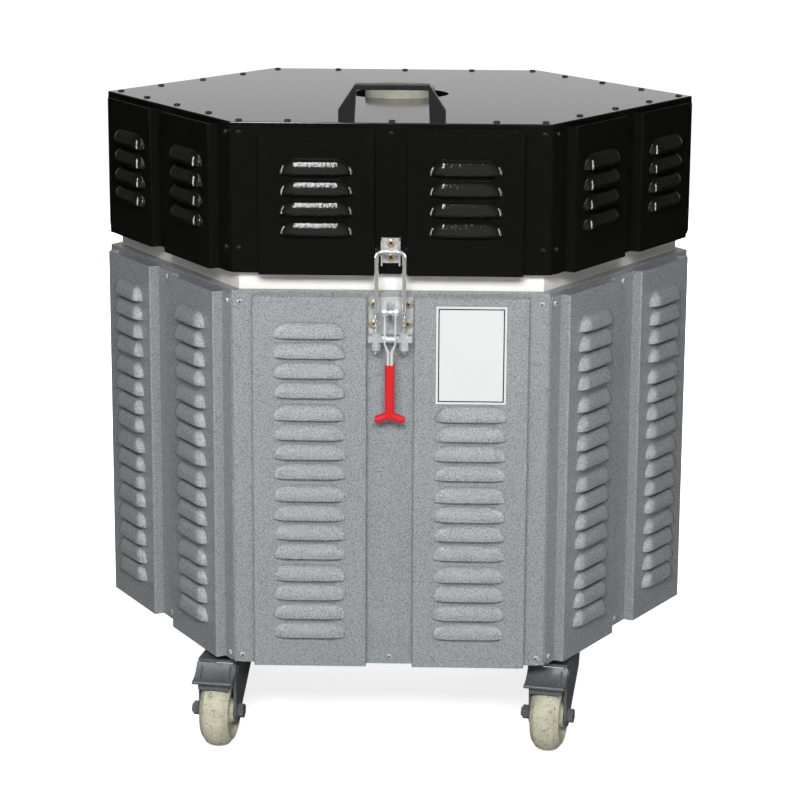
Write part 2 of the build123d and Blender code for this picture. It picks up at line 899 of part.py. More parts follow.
box_screw = screw(screw_head_radius, screw_head_height, screw_radius, 2 * box_sheet + sheet + 0.5)
box_screws = [on_side(at_face(u, z, box_inner_w + box_sheet) * box_screw, 3) for u, z in box_screw_places]
box_pan_holes = [on_side(outward_cylinder(u, z, 5, 30, hole_radius), 3) for u, z in box_screw_places]
rear_holes = pan_face_holes(False) + box_pan_holes
body_panels_sides[-2:] = [half - rear_holes for half in body_panels_sides[-2:]]
lid_panels_sides[4:6] = [half - pan_face_holes(True) for half in lid_panels_sides[4:6]]
hinge_body_leaves = hinge_half(False)
hinge_lid_leaves = hinge_half(True)
hinge_pins = [hinge_pin(u) for u in (-hinge_u, hinge_u)]

panel_screws = []
lid_panel_screws = []
for side in range(sides):
    panel_screws += panel_screw_group(body_screw_places(side), side)
    lid_panel_screws += panel_screw_group(lid_screw_places(), side)
panel_screws += hinge_screw_set(False) + box_screws
lid_panel_screws += hinge_screw_set(True)

# Lid


def lid_casing_sheet():
    points = [
        (0, lid_low),
        (0, plate_low),
        (-lid_lip_width, plate_low),
        (-lid_lip_width, plate_low - sheet),
        (-sheet, plate_low - sheet),
        (-sheet, lid_low + sheet),
        (-ledge_width, lid_low + sheet),
        (-ledge_width, lid_low),
    ]
    return section_along_side(points, -side_length, side_length) & side_wedge(mitre_gap)


def plate_screw_points():
    corner = (apothem - plate_screw_inset) / math.cos(math.pi / sides)
    points = []
    for side in range(sides):
        turn = math.radians(60 * side)
        angle = turn + math.radians(-60)
        points.append((corner * math.cos(angle), corner * math.sin(angle)))
        share = plate_screw_side_share if side else plate_screw_front_share
        for u in (-share * side_length, 0, share * side_length):
            y = -(apothem - plate_screw_inset)
            x_turned = u * math.cos(turn) - y * math.sin(turn)
            y_turned = u * math.sin(turn) + y * math.cos(turn)
            points.append((x_turned, y_turned))
    return points


handle_foot_middle = (handle_half_width + handle_opening_foot) / 2
handle_bolt_places = [
    (x, -(apothem - handle_inset)) for x in (-handle_foot_middle, handle_foot_middle)
]
plate_screw = screw(plate_screw_head_radius, plate_screw_head_height, screw_radius, plate_screw_length)
plate_screw_holes = [Pos(x, y, plate_top) * Cylinder(hole_radius, 40) for x, y in plate_screw_points()]
handle_bolt_holes = [
    Pos(x, y, plate_top) * Cylinder(handle_bolt_radius + bolt_fit, 40) for x, y in handle_bolt_places
]


def lid_top_plate_shape():
    plate = hexagon_prism(apothem, plate_low, plate_top)
    rim = plate.edges().group_by(Axis.Z)[-1]
    plate = fillet(rim, lid_plate_thickness * 0.6)
    # The hole has a thin collar turned down to the bricks.
    collar_low = lid_brick_top + seat_gap
    collar_height = plate_top - 1 - collar_low
    collar = Cylinder(plate_hole_radius + sheet, collar_height, align=(Align.CENTER, Align.CENTER, Align.MIN))
    plate += Pos(0, 0, collar_low) * collar
    plate -= Pos(0, 0, plate_top) * Cylinder(plate_hole_radius, long_cut)
    return plate - plate_screw_holes - handle_bolt_holes


def lid_casing_set():
    folded = lid_casing_sheet()
    pieces = [folded - lid_front_holes]
    pieces += [on_side(folded - lid_holes, side) for side in range(1, sides)]
    return [piece - plate_screw_holes - handle_bolt_holes for piece in pieces]


def lid_brick_set():
    foot = hexagon_prism(apothem - ledge_width - hidden_fit, lid_low, lid_low + 2 * sheet)
    slab = hexagon_prism(apothem - sheet - hidden_fit, lid_low + sheet + hidden_fit, lid_brick_top)
    slab += foot
    slab -= Pos(plug_x, plug_y, lid_low) * Cylinder(plug_stem_radius + plug_fit, 3 * lid_brick_thickness)
    return planks(slab, [-lid_plank_half_width, lid_plank_half_width])


def lid_blanket_shape():
    top = plate_low - sheet - hidden_fit
    blanket = hexagon_prism(apothem - sheet - hidden_fit, lid_brick_top, top)
    hole = Cylinder(plate_hole_radius + sheet + hidden_fit, long_cut)
    blanket -= Pos(0, 0, lid_brick_top) * hole
    pockets = []
    for x, y in handle_bolt_places:
        pocket = Cylinder(handle_bolt_head + 1, handle_bolt_head_height + 2)
        pockets.append(Pos(x, y, top - handle_bolt_head_height / 2) * pocket)
    screw_pockets = [Pos(x, y, top) * Cylinder(screw_radius + 1, 12) for x, y in plate_screw_points()]
    return blanket - pockets - screw_pockets


def handle_shape():
    outline = [
        (-handle_half_width, 0),
        (-handle_half_width, handle_shoulder),
        (-handle_top_half_width, handle_height),
        (handle_top_half_width, handle_height),
        (handle_half_width, handle_shoulder),
        (handle_half_width, 0),
        (handle_opening_foot, 0),
        (handle_opening_top, handle_height - handle_bar),
        (-handle_opening_top, handle_height - handle_bar),
        (-handle_opening_foot, 0),
    ]
    face = Polygon(*outline, align=None)
    bends = [v for v in face.vertices() if v.Y > handle_shoulder - 1]
    face = fillet(bends, 2)
    bar = Plane.XZ * extrude(face, handle_depth / 2, both=True)
    long_edges = [e for e in bar.edges() if e.center().Z > 0.5 and abs(e.center().Y) > handle_depth / 2 - 0.1]
    bar = fillet(long_edges, 1.0)
    bar = Pos(0, -(apothem - handle_inset), plate_top) * bar
    for x, y in handle_bolt_places:
        hole = Cylinder(
            handle_bolt_radius + bolt_fit,
            handle_bolt_reach + 1,
            align=(Align.CENTER, Align.CENTER, Align.MIN),
        )
        bar -= Pos(x, y, plate_top - 1) * hole
    return bar


def handle_bolt(x, y):
    under_lip = plate_low - sheet
    head = Cylinder(handle_bolt_head, handle_bolt_head_height, align=(Align.CENTER, Align.CENTER, Align.MAX))
    shank = Cylinder(
        handle_bolt_radius,
        plate_top + handle_bolt_reach - 1 - under_lip,
        align=(Align.CENTER, Align.CENTER, Align.MIN),
    )
    return Pos(x, y, under_lip) * (head + shank)


def vent_plug_shape():
    low = lid_brick_top + seat_gap
    high = plate_top + plug_proud
    head = Cylinder(plug_radius, high - low, align=(Align.CENTER, Align.CENTER, Align.MIN))
    top = head.edges().group_by(Axis.Z)[-1]
    head = fillet(top, 2)
    stem = Cylinder(plug_stem_radius, plug_stem_length, align=(Align.CENTER, Align.CENTER, Align.MAX))
    return Pos(plug_x, plug_y, low) * (head + stem)


lid_top_plate = lid_top_plate_shape()
lid_casing = lid_casing_set()
lid_plate_screws = [Pos(x, y, plate_top) * plate_screw for x, y in plate_screw_points()]
lid_bricks = lid_brick_set()
lid_blanket = lid_blanket_shape()
lid_handle = handle_shape()
handle_bolts = [handle_bolt(x, y) for x, y in handle_bolt_places]
vent_plug = vent_plug_shape()

# Latch


def latch_base_shape():
    low = latch_base_middle - latch_base_height / 2
    high = latch_base_middle + latch_base_height / 2
    half = latch_base_width / 2
    plate = outward_box(latch_base_shift - half, latch_base_shift + half, low, high, sheet, sheet + latch_plate)
    corners = plate.edges().filter_by(Axis.Y)
    plate = fillet(corners, 3)
    for u, z in latch_screw_places:
        plate -= outward_cylinder(u, z, 0, 10, hole_radius)
    outline = [
        (sheet, ear_low),
        (sheet, ear_high),
        (sheet + 8, ear_high),
        (pivot_w + 5, pivot_z + 3),
        (pivot_w + 5, pivot_z - 3),
        (sheet + 8, ear_low),
    ]
    for u in (-ear_inside - ear_thickness, ear_inside):
        plate += section_along_side(outline, u, u + ear_thickness)
    bore = Cylinder(pivot_radius + pivot_fit, 40, rotation=(0, 90, 0))
    return plate - Pos(0, -(apothem + pivot_w), pivot_z) * bore


def pivot_pin_shape():
    reach = lever_inside + lever_plate + 0.3
    pin = Cylinder(pivot_radius, 2 * reach + 2 * pivot_head, rotation=(0, 90, 0))
    for sign in (-1, 1):
        head = Cylinder(pivot_head_radius, pivot_head, rotation=(0, 90, 0))
        pin += Pos(sign * (reach + pivot_head / 2), 0, 0) * head
    return Pos(0, -(apothem + pivot_w), pivot_z) * pin


def lever_shape():
    # Two plates that draw together below the yoke; the grip is dipped over their narrowed ends.
    back = pivot_w - lever_width / 2
    front = pivot_w + lever_width / 2
    pivot = Cylinder(pivot_radius + pivot_fit, 40, rotation=(0, 90, 0))
    yoke_hole = Cylinder(yoke_pin_radius + pivot_fit, 40, rotation=(0, 90, 0))
    plates = []
    for sign in (-1, 1):
        inner = lever_inside
        outer = lever_inside + lever_plate
        top_z = pivot_z + lever_width / 2
        bend_z = yoke_z - lever_bend_drop
        outline = [
            (sign * inner, top_z),
            (sign * outer, top_z),
            (sign * outer, bend_z),
            (sign * lever_handle_outside, lever_neck_z - 6),
            (sign * lever_handle_outside, lever_end_z),
            (sign * lever_handle_inside, lever_end_z),
            (sign * lever_handle_inside, lever_neck_z - 6),
            (sign * inner, bend_z),
        ]
        face = Polygon(*outline, align=None)
        strip = at_face(0, 0, back) * extrude(face, front - back, dir=(0, 0, 1))
        tops = strip.edges().filter_by(Axis.X).group_by(Axis.Z)[-1]
        strip = fillet(tops, lever_width / 2 - 0.6)
        for w_low, w_high in ((back - 1, pivot_w - lever_tang / 2), (pivot_w + lever_tang / 2, front + 1)):
            strip -= outward_box(-grip_half, grip_half, lever_end_z - 1, grip_top_z, w_low, w_high)
        strip -= Pos(0, -(apothem + pivot_w), pivot_z) * pivot
        strip -= Pos(0, -(apothem + yoke_w), yoke_z) * yoke_hole
        plates.append(strip)
    return plates


def grip_shape(lever):
    half = grip_depth / 2
    stem = outward_box(-grip_half, grip_half, grip_bottom_z, grip_top_z, pivot_w - half, pivot_w + half)
    stem = fillet(stem.edges().filter_by(Axis.Z), 3)
    wings = Sphere(wing_radius)
    for sign in (-1, 1):
        direction = Vector(sign * wing_reach, 0, -wing_drop)
        plane = Plane(origin=(0, 0, 0), z_dir=direction)
        wing = plane * Cylinder(wing_radius, direction.length, align=(Align.CENTER, Align.CENTER, Align.MIN))
        wings += [wing, Pos(sign * wing_reach, 0, -wing_drop) * Sphere(wing_radius)]
    grip = stem + Pos(0, -(apothem + pivot_w), grip_bottom_z) * wings
    return grip - lever


def yoke_shape():
    half = yoke_length / 2
    pin_half = lever_inside + lever_plate + 0.6
    yoke = Cylinder(yoke_pin_radius, 2 * pin_half + 4, rotation=(0, 90, 0))
    yoke = Pos(0, -(apothem + yoke_w), yoke_z) * yoke
    z_low = yoke_z - yoke_height / 2
    z_high = yoke_z + yoke_height / 2
    w_low = yoke_w - yoke_depth / 2
    w_high = yoke_w + yoke_depth / 2
    for u_low, u_high in ((-half, -pin_half), (pin_half, half)):
        yoke += outward_box(u_low, u_high, z_low, z_high, w_low, w_high)
    for u in (-loop_half_width, loop_half_width):
        yoke -= Pos(u, -(apothem + loop_w), yoke_z) * Cylinder(rod_radius + bolt_fit, 30)
    return yoke


def u_bolt_shape():
    y = -(apothem + loop_w)
    points = [
        (-loop_half_width, y, rod_end_z),
        (-loop_half_width, y, loop_top_z),
        (loop_half_width, y, loop_top_z),
        (loop_half_width, y, rod_end_z),
    ]
    path = FilletPolyline(*points, radius=loop_corner)
    section = Plane(origin=points[0], z_dir=path % 0) * Circle(rod_radius)
    return sweep(section, path=path)


def u_bolt_nut_set():
    top = yoke_z + yoke_height / 2
    bottom = yoke_z - yoke_height / 2
    lows = (top, bottom - nut_height, bottom - 2 * nut_height - nut_gap)
    nut = hex_nut(nut_flat, nut_height, rod_radius + bolt_fit)
    places = [(u, low) for u in (-loop_half_width, loop_half_width) for low in lows]
    return [Pos(u, -(apothem + loop_w), low) * nut for u, low in places]


def catch_plate_shape():
    inner = catch_half_width - catch_flange
    plate = outward_box(-catch_half_width, catch_half_width, catch_low, catch_high, sheet, sheet + latch_plate)
    outline = [
        (sheet, catch_low - 2),
        (sheet, catch_high),
        (catch_w, catch_high - 1),
        (catch_w, loop_top_z + 2 * rod_radius),
        (catch_w - 2, loop_top_z + rod_radius),
        (catch_w - 2, loop_top_z - rod_radius),
        (catch_w, loop_top_z - 2 * rod_radius),
        (catch_w, catch_low),
        (catch_w - 4, catch_low - 2),
    ]
    for u in (-catch_half_width, inner):
        plate += section_along_side(outline, u, u + catch_flange)
    for u, z in catch_screw_places:
        plate -= outward_cylinder(u, z, 0, 10, hole_radius)
    return plate


def seat_screws(places, head_radius):
    fastener = screw(head_radius, 2.6, screw_radius, latch_plate + 2 * sheet - screw_tip_gap)
    return [at_face(u, z, sheet + latch_plate) * fastener for u, z in places]


latch_base = latch_base_shape()
latch_pivot_pin = pivot_pin_shape()
latch_lever = lever_shape()
latch_grip = grip_shape(latch_lever)
latch_yoke = yoke_shape()
u_bolt = u_bolt_shape()
u_bolt_nuts = u_bolt_nut_set()
catch_plate = catch_plate_shape()
latch_base_screws = seat_screws(latch_screw_places, latch_screw_head)
catch_screws = seat_screws(catch_screw_places, catch_screw_radius)
blank_plate_u = (half_side - body_end_strip + body_mid_strip / 2) / 2
blank_plate_z = body_low + blank_plate_middle
blank_plate = outward_box(
    blank_plate_u - blank_plate_width / 2,
    blank_plate_u + blank_plate_width / 2,
    blank_plate_z - blank_plate_height / 2,
    blank_plate_z + blank_plate_height / 2,
    pan_face,
    pan_face + blank_plate_thickness,
)

# Casters, drawn with the kingpin at the origin and the wheel trailing towards -Y


def fork_shape():
    outer = fork_inside + fork_sheet
    bottom = wheel_radius
    front = -trail - fork_leg_radius
    leg_outline = [
        (crown_back, crown_low + fork_sheet),
        (front, crown_low + fork_sheet),
        (front, bottom),
        (-trail + fork_leg_radius, bottom),
        (crown_back - 4, crown_low - crown_rim),
        (crown_back, crown_low - crown_rim / 2),
    ]
    crown = Box(2 * outer, crown_back - front, fork_sheet, align=(Align.CENTER, Align.MAX, Align.MIN))
    fork = Pos(0, crown_back, crown_low) * crown
    race_top = top_plate_low - race_gap
    race = Cylinder(race_radius, race_top - crown_low, align=(Align.CENTER, Align.CENTER, Align.MIN))
    fork += Pos(0, 0, crown_low) * race
    for x in (-outer, fork_inside):
        leg_face = Plane.YZ * Polygon(*leg_outline, align=None)
        leg = Pos(x, 0, 0) * extrude(leg_face, fork_sheet, dir=(1, 0, 0))
        foot = Cylinder(fork_leg_radius, fork_sheet, rotation=(0, 90, 0))
        fork += leg
        fork += Pos(x + fork_sheet / 2, -trail, wheel_radius) * foot
    fork -= Pos(0, 0, crown_low) * Cylinder(kingpin_radius + axle_fit, 60)
    bore = Cylinder(axle_radius + axle_fit, long_cut, rotation=(0, 90, 0))
    return fork - Pos(0, -trail, wheel_radius) * bore


def axle_shape():
    outer = fork_inside + fork_sheet
    bolt = Cylinder(axle_radius, 2 * outer + axle_nut + 2, rotation=(0, 90, 0))
    bolt = Pos(-(axle_nut + 2) / 2, 0, 0) * bolt
    head = extrude(RegularPolygon(axle_head_flat / 2, 6, major_radius=False), axle_head)
    bolt += Pos(outer, 0, 0) * Rot(0, 90, 0) * head
    nut = hex_nut(axle_head_flat, axle_nut, axle_radius + bolt_fit)
    nut = Pos(-outer - axle_nut, 0, 0) * Rot(0, 90, 0) * nut
    return [Pos(0, -trail, wheel_radius) * piece for piece in (bolt, nut)]


def pedal_pin_shape():
    outer = fork_inside + fork_sheet
    pin = Cylinder(pedal_pin_radius, 2 * outer, rotation=(0, 90, 0))
    for sign in (-1, 1):
        head = Cylinder(pedal_pin_radius + 2, 1.5, rotation=(0, 90, 0))
        pin += Pos(sign * (outer + 0.75), 0, 0) * head
    return Pos(0, -trail - pedal_pin_forward, pedal_pin_z) * pin


def wheel_shape():
    half = wheel_width / 2
    shoulder = wheel_radius - wheel_edge
    crown = ThreePointArc(
        (-half + wheel_edge * 0.6, wheel_radius - wheel_crown),
        (0, wheel_radius),
        (half - wheel_edge * 0.6, wheel_radius - wheel_crown),
    )
    bore = axle_radius + axle_fit
    hub_half = hub_width / 2
    web = half - 5
    outline = [
        Line((-hub_half, bore), (-hub_half, hub_radius)),
        Line((-hub_half, hub_radius), (-web, hub_radius + 2)),
        Line((-web, hub_radius + 2), (-web, shoulder - 5)),
        Line((-web, shoulder - 5), (-half, shoulder - 2)),
        Line((-half, shoulder - 2), (-half, shoulder)),
        Line((-half, shoulder), crown @ 0),
        crown,
        Line(crown @ 1, (half, shoulder)),
        Line((half, shoulder), (half, shoulder - 2)),
        Line((half, shoulder - 2), (web, shoulder - 5)),
        Line((web, shoulder - 5), (web, hub_radius + 2)),
        Line((web, hub_radius + 2), (hub_half, hub_radius)),
        Line((hub_half, hub_radius), (hub_half, bore)),
        Line((hub_half, bore), (-hub_half, bore)),
    ]
    tyre = revolve(make_face(outline), Axis.X, 360)
    rims = [e for e in tyre.edges().filter_by(GeomType.CIRCLE) if e.radius > shoulder - 0.1]
    tyre = fillet(rims, 2.5)
    return Pos(0, -trail, wheel_radius) * tyre


def pedal_shape():
    front = -trail - fork_leg_radius - pedal_front_gap
    top = crown_low + pedal_rise
    tip = front - pedal_reach
    middle_y = front - pedal_reach * 0.45
    upper = ThreePointArc((front, top), (middle_y, pedal_low + pedal_curl), (tip, pedal_low))
    lower_middle = (middle_y, pedal_low + pedal_curl - pedal_sheet)
    lower = ThreePointArc((front, top - pedal_sheet * 1.3), lower_middle, (tip, pedal_low - pedal_sheet))
    outline = [
        upper,
        Line(upper @ 1, lower @ 1),
        lower,
        Line(lower @ 0, upper @ 0),
    ]
    plate_face = Plane.YZ * make_face(outline)
    plate = Pos(-pedal_half_width, 0, 0) * extrude(plate_face, 2 * pedal_half_width, dir=(1, 0, 0))
    lip = Cylinder(pedal_sheet * 0.9, 2 * pedal_half_width, rotation=(0, 90, 0))
    plate += Pos(0, tip, pedal_low - pedal_sheet / 2) * lip
    pin_y = -trail - pedal_pin_forward
    arm_outline = [
        (pin_y + 5, pedal_pin_z + 4.5),
        (pin_y + 5, pedal_pin_z - 5),
        (front - shoe_gap - shoe_depth, shoe_low),
        (front - shoe_gap - shoe_depth, pedal_low + pedal_curl - pedal_sheet / 2),
        (front - 0.3, top - pedal_sheet),
    ]
    arm_outer = fork_inside - pedal_arm_gap
    for x in (-arm_outer, arm_outer - pedal_arm):
        arm_face = Plane.YZ * Polygon(*arm_outline, align=None)
        plate += Pos(x, 0, 0) * extrude(arm_face, pedal_arm, dir=(1, 0, 0))
    shoe = Box(2 * arm_outer, shoe_depth, shoe_height, align=(Align.CENTER, Align.MAX, Align.MIN))
    plate += Pos(0, front - shoe_gap, shoe_low) * shoe
    bore = Cylinder(pedal_pin_radius + axle_fit, long_cut, rotation=(0, 90, 0))
    return plate - Pos(0, pin_y, pedal_pin_z) * bore


def caster_top_shape():
    bottom_middle = (Align.CENTER, Align.CENTER, Align.MIN)
    top = Cylinder(top_plate_radius, caster_height - top_plate_low, align=bottom_middle)
    top = Pos(0, 0, top_plate_low) * top
    pin_low = crown_low - race_gap
    pin = Cylinder(kingpin_radius, top_plate_low - pin_low, align=bottom_middle)
    head = Cylinder(kingpin_head_radius, kingpin_head, align=(Align.CENTER, Align.CENTER, Align.MAX))
    stem_length = frame_leg + caster_nut_height + 4
    stem = Cylinder(kingpin_radius, stem_length, align=bottom_middle)
    top += Pos(0, 0, pin_low) * pin + Pos(0, 0, pin_low) * head
    return top + Pos(0, 0, caster_height) * stem


def caster_nut_shape():
    nut = hex_nut(caster_nut_flat, caster_nut_height, kingpin_radius + bolt_fit)
    return Pos(0, 0, caster_height + frame_leg) * nut


caster_places = {
    "front_left": (-caster_x, -caster_y),
    "front_right": (caster_x, -caster_y),
    "rear_left": (-caster_x, caster_y),
    "rear_right": (caster_x, caster_y),
}
fork = fork_shape()
pedal_hole = Cylinder(pedal_pin_radius + axle_fit, long_cut, rotation=(0, 90, 0))
braked_fork = fork - Pos(0, -trail - pedal_pin_forward, pedal_pin_z) * pedal_hole
wheel = wheel_shape()
pedal = pedal_shape()
caster_nodes = {}
caster_top_plates = []
caster_nuts = []
for name, (x, y) in caster_places.items():
    place = Pos(x, y, 0) * Rot(0, 0, caster_yaws[name])
    caster_top_plates.append(Pos(x, y, 0) * caster_top_shape())
    caster_nuts.append(Pos(x, y, 0) * caster_nut_shape())
    axle = [place * piece for piece in axle_shape()]
    if name in braked:
        caster_nodes[f"caster_fork_{name}"] = [place * braked_fork]
        caster_nodes[f"brake_pedal_{name}"] = [place * pedal]
        axle.append(place * pedal_pin_shape())
    else:
        caster_nodes[f"caster_fork_{name}"] = [place * fork]
    caster_nodes[f"caster_axle_{name}"] = axle
    caster_nodes[f"caster_wheel_{name}"] = [place * wheel]

# Node files

nodes = {
    "base_frame": base_frame,
    "floor_pan": [floor_pan],
    "floor_board": [floor_board],
    "floor_bricks": floor_bricks,
    "inner_casing": inner_casing,
    "body_panel_front_left": [body_panel_front_left],
    "body_panel_front_right": [body_panel_front_right],
    "body_panels_sides": body_panels_sides,
    "panel_screws": panel_screws,
    "blank_plate": [blank_plate],
    "wall_blanket": [wall_blanket],
    "wall_bricks": wall_bricks,
    "heating_elements": heating_elements,
    "element_tubes": element_tubes,
    "thermocouple": [thermocouple],
    "connection_plate": [connection_plate],
    "connection_cover": [connection_cover],
    "terminal_blocks": terminal_blocks,
    "terminal_screws": terminal_screws,
    "cable_gland": [cable_gland],
    "hinge_body_leaves": hinge_body_leaves,
    "hinge_pins": hinge_pins,
    "latch_base": [latch_base],
    "latch_base_screws": latch_base_screws,
    "latch_pivot_pin": [latch_pivot_pin],
    "caster_top_plates": caster_top_plates,
    "caster_nuts": caster_nuts,
    "lid_top_plate": [lid_top_plate],
    "lid_casing": lid_casing,
    "lid_panels_front": lid_front_pair,
    "lid_panels_sides": lid_panels_sides,
    "lid_plate_screws": lid_plate_screws,
    "lid_panel_screws": lid_panel_screws,
    "lid_bricks": lid_bricks,
    "lid_blanket": [lid_blanket],
    "lid_handle": [lid_handle],
    "handle_bolts": handle_bolts,
    "catch_plate": [catch_plate],
    "catch_screws": catch_screws,
    "hinge_lid_leaves": hinge_lid_leaves,
    "vent_plug": [vent_plug],
    "latch_lever": latch_lever,
    "latch_grip": [latch_grip],
    "latch_yoke": [latch_yoke],
    "u_bolt": [u_bolt],
    "u_bolt_nuts": u_bolt_nuts,
}
nodes.update(caster_nodes)

# The whole kiln is moved along Y so that its bounding box is centred on the origin.
front_y = min(piece.bounding_box().min.Y for piece in [latch_grip, latch_base, latch_pivot_pin, pedal])
front_y = min(front_y, -(apothem + pivot_w + grip_depth / 2))
back_y = apothem + box_face_w
shift_y = -(front_y + back_y) / 2

os.makedirs("parts", exist_ok=True)
for name, solids in nodes.items():
    placed = [Pos(0, shift_y, 0) * solid for solid in solids]
    shape = placed[0] if len(placed) == 1 else Compound(children=placed)
    export_step(shape, f"parts/{name}.step")
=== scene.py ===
import json
import math

import bpy
from mathutils import Matrix, Vector
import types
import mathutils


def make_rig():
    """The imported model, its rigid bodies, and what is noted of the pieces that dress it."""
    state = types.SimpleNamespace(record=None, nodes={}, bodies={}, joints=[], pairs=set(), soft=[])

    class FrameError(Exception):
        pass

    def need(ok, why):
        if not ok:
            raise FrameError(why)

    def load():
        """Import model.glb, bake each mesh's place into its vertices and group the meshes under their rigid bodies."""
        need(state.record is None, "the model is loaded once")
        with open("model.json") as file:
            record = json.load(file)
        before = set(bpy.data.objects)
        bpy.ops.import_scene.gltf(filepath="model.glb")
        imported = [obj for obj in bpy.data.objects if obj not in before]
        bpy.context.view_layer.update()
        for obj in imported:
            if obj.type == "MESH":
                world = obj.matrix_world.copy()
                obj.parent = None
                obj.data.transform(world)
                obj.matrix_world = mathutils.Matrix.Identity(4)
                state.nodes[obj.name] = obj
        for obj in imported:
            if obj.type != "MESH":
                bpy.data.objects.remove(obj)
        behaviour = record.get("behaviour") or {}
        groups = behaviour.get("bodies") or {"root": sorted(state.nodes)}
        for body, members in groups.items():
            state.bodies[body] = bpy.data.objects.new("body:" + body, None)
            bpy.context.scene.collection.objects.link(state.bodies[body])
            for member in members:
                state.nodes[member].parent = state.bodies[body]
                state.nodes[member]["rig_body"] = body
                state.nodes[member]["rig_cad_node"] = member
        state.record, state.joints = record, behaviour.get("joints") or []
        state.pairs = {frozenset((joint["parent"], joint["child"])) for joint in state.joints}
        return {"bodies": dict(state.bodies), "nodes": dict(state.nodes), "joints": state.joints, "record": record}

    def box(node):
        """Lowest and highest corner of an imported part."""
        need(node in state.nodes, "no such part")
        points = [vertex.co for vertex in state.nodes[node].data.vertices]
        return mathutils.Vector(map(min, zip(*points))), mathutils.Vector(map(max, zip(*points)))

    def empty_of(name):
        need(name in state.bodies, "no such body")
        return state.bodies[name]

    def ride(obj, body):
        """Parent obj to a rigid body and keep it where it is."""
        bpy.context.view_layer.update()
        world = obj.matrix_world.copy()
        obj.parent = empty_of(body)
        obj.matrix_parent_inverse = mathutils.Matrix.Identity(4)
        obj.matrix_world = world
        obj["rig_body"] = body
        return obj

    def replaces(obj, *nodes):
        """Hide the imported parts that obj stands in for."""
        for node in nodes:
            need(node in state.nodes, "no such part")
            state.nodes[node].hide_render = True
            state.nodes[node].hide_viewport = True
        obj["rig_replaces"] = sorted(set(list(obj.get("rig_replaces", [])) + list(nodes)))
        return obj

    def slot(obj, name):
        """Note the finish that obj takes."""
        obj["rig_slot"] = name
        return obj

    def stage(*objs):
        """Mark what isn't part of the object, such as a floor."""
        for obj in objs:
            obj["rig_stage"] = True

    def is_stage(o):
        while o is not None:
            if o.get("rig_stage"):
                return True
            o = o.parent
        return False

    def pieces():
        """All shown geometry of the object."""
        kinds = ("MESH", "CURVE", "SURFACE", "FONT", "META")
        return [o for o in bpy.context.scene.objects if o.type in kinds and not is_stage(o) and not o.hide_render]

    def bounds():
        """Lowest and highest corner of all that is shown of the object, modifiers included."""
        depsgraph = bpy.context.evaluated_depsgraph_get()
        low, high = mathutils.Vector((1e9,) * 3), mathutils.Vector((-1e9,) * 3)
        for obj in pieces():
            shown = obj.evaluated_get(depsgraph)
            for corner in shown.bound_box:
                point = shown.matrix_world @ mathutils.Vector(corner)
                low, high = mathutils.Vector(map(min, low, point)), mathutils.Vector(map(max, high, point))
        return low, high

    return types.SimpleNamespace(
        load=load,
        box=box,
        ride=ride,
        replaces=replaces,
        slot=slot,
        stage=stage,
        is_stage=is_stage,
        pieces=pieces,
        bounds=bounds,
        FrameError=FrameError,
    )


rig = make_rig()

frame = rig.load()
with open("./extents.json", "w") as size_file:
    json.dump({"cad": [list(corner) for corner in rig.bounds()]}, size_file)

# The pressed sheets that clothe the body: mild steel with raised louvred pans,
# finished in grey hammered enamel, whose small dimples sit in a darker ground.
def new_material(name, color, roughness, metallic=0.0, coat=0.0, coat_roughness=0.05):
    material = bpy.data.materials.new(name)
    material.use_nodes = True
    shader = material.node_tree.nodes["Principled BSDF"]
    shader.inputs["Base Color"].default_value = (*color, 1.0)
    shader.inputs["Roughness"].default_value = roughness
    shader.inputs["Metallic"].default_value = metallic
    shader.inputs["Coat Weight"].default_value = coat
    shader.inputs["Coat Roughness"].default_value = coat_roughness
    return material, material.node_tree, shader


def object_space(tree):
    where = tree.nodes.new("ShaderNodeTexCoord")
    return where.outputs["Object"]


def noise(tree, vector, scale, detail=2.0, roughness=0.5):
    texture = tree.nodes.new("ShaderNodeTexNoise")
    texture.inputs["Scale"].default_value = scale
    texture.inputs["Detail"].default_value = detail
    texture.inputs["Roughness"].default_value = roughness
    tree.links.new(vector, texture.inputs["Vector"])
    return texture.outputs["Fac"]


def ramp(tree, factor, stops):
    band = tree.nodes.new("ShaderNodeValToRGB")
    elements = band.color_ramp.elements
    while len(elements) < len(stops):
        elements.new(0.5)
    for element, (position, color) in zip(elements, stops):
        element.position = position
        element.color = (*color, 1.0)
    tree.links.new(factor, band.inputs["Fac"])
    return band.outputs["Color"]


def bump(tree, shader, height, distance, strength=1.0):
    relief = tree.nodes.new("ShaderNodeBump")
    relief.inputs["Strength"].default_value = strength
    relief.inputs["Distance"].default_value = distance
    tree.links.new(height, relief.inputs["Height"])
    tree.links.new(relief.outputs["Normal"], shader.inputs["Normal"])


def finish_node(node, material):
    data = frame["nodes"][node].data
    data.materials.clear()
    data.materials.append(material)


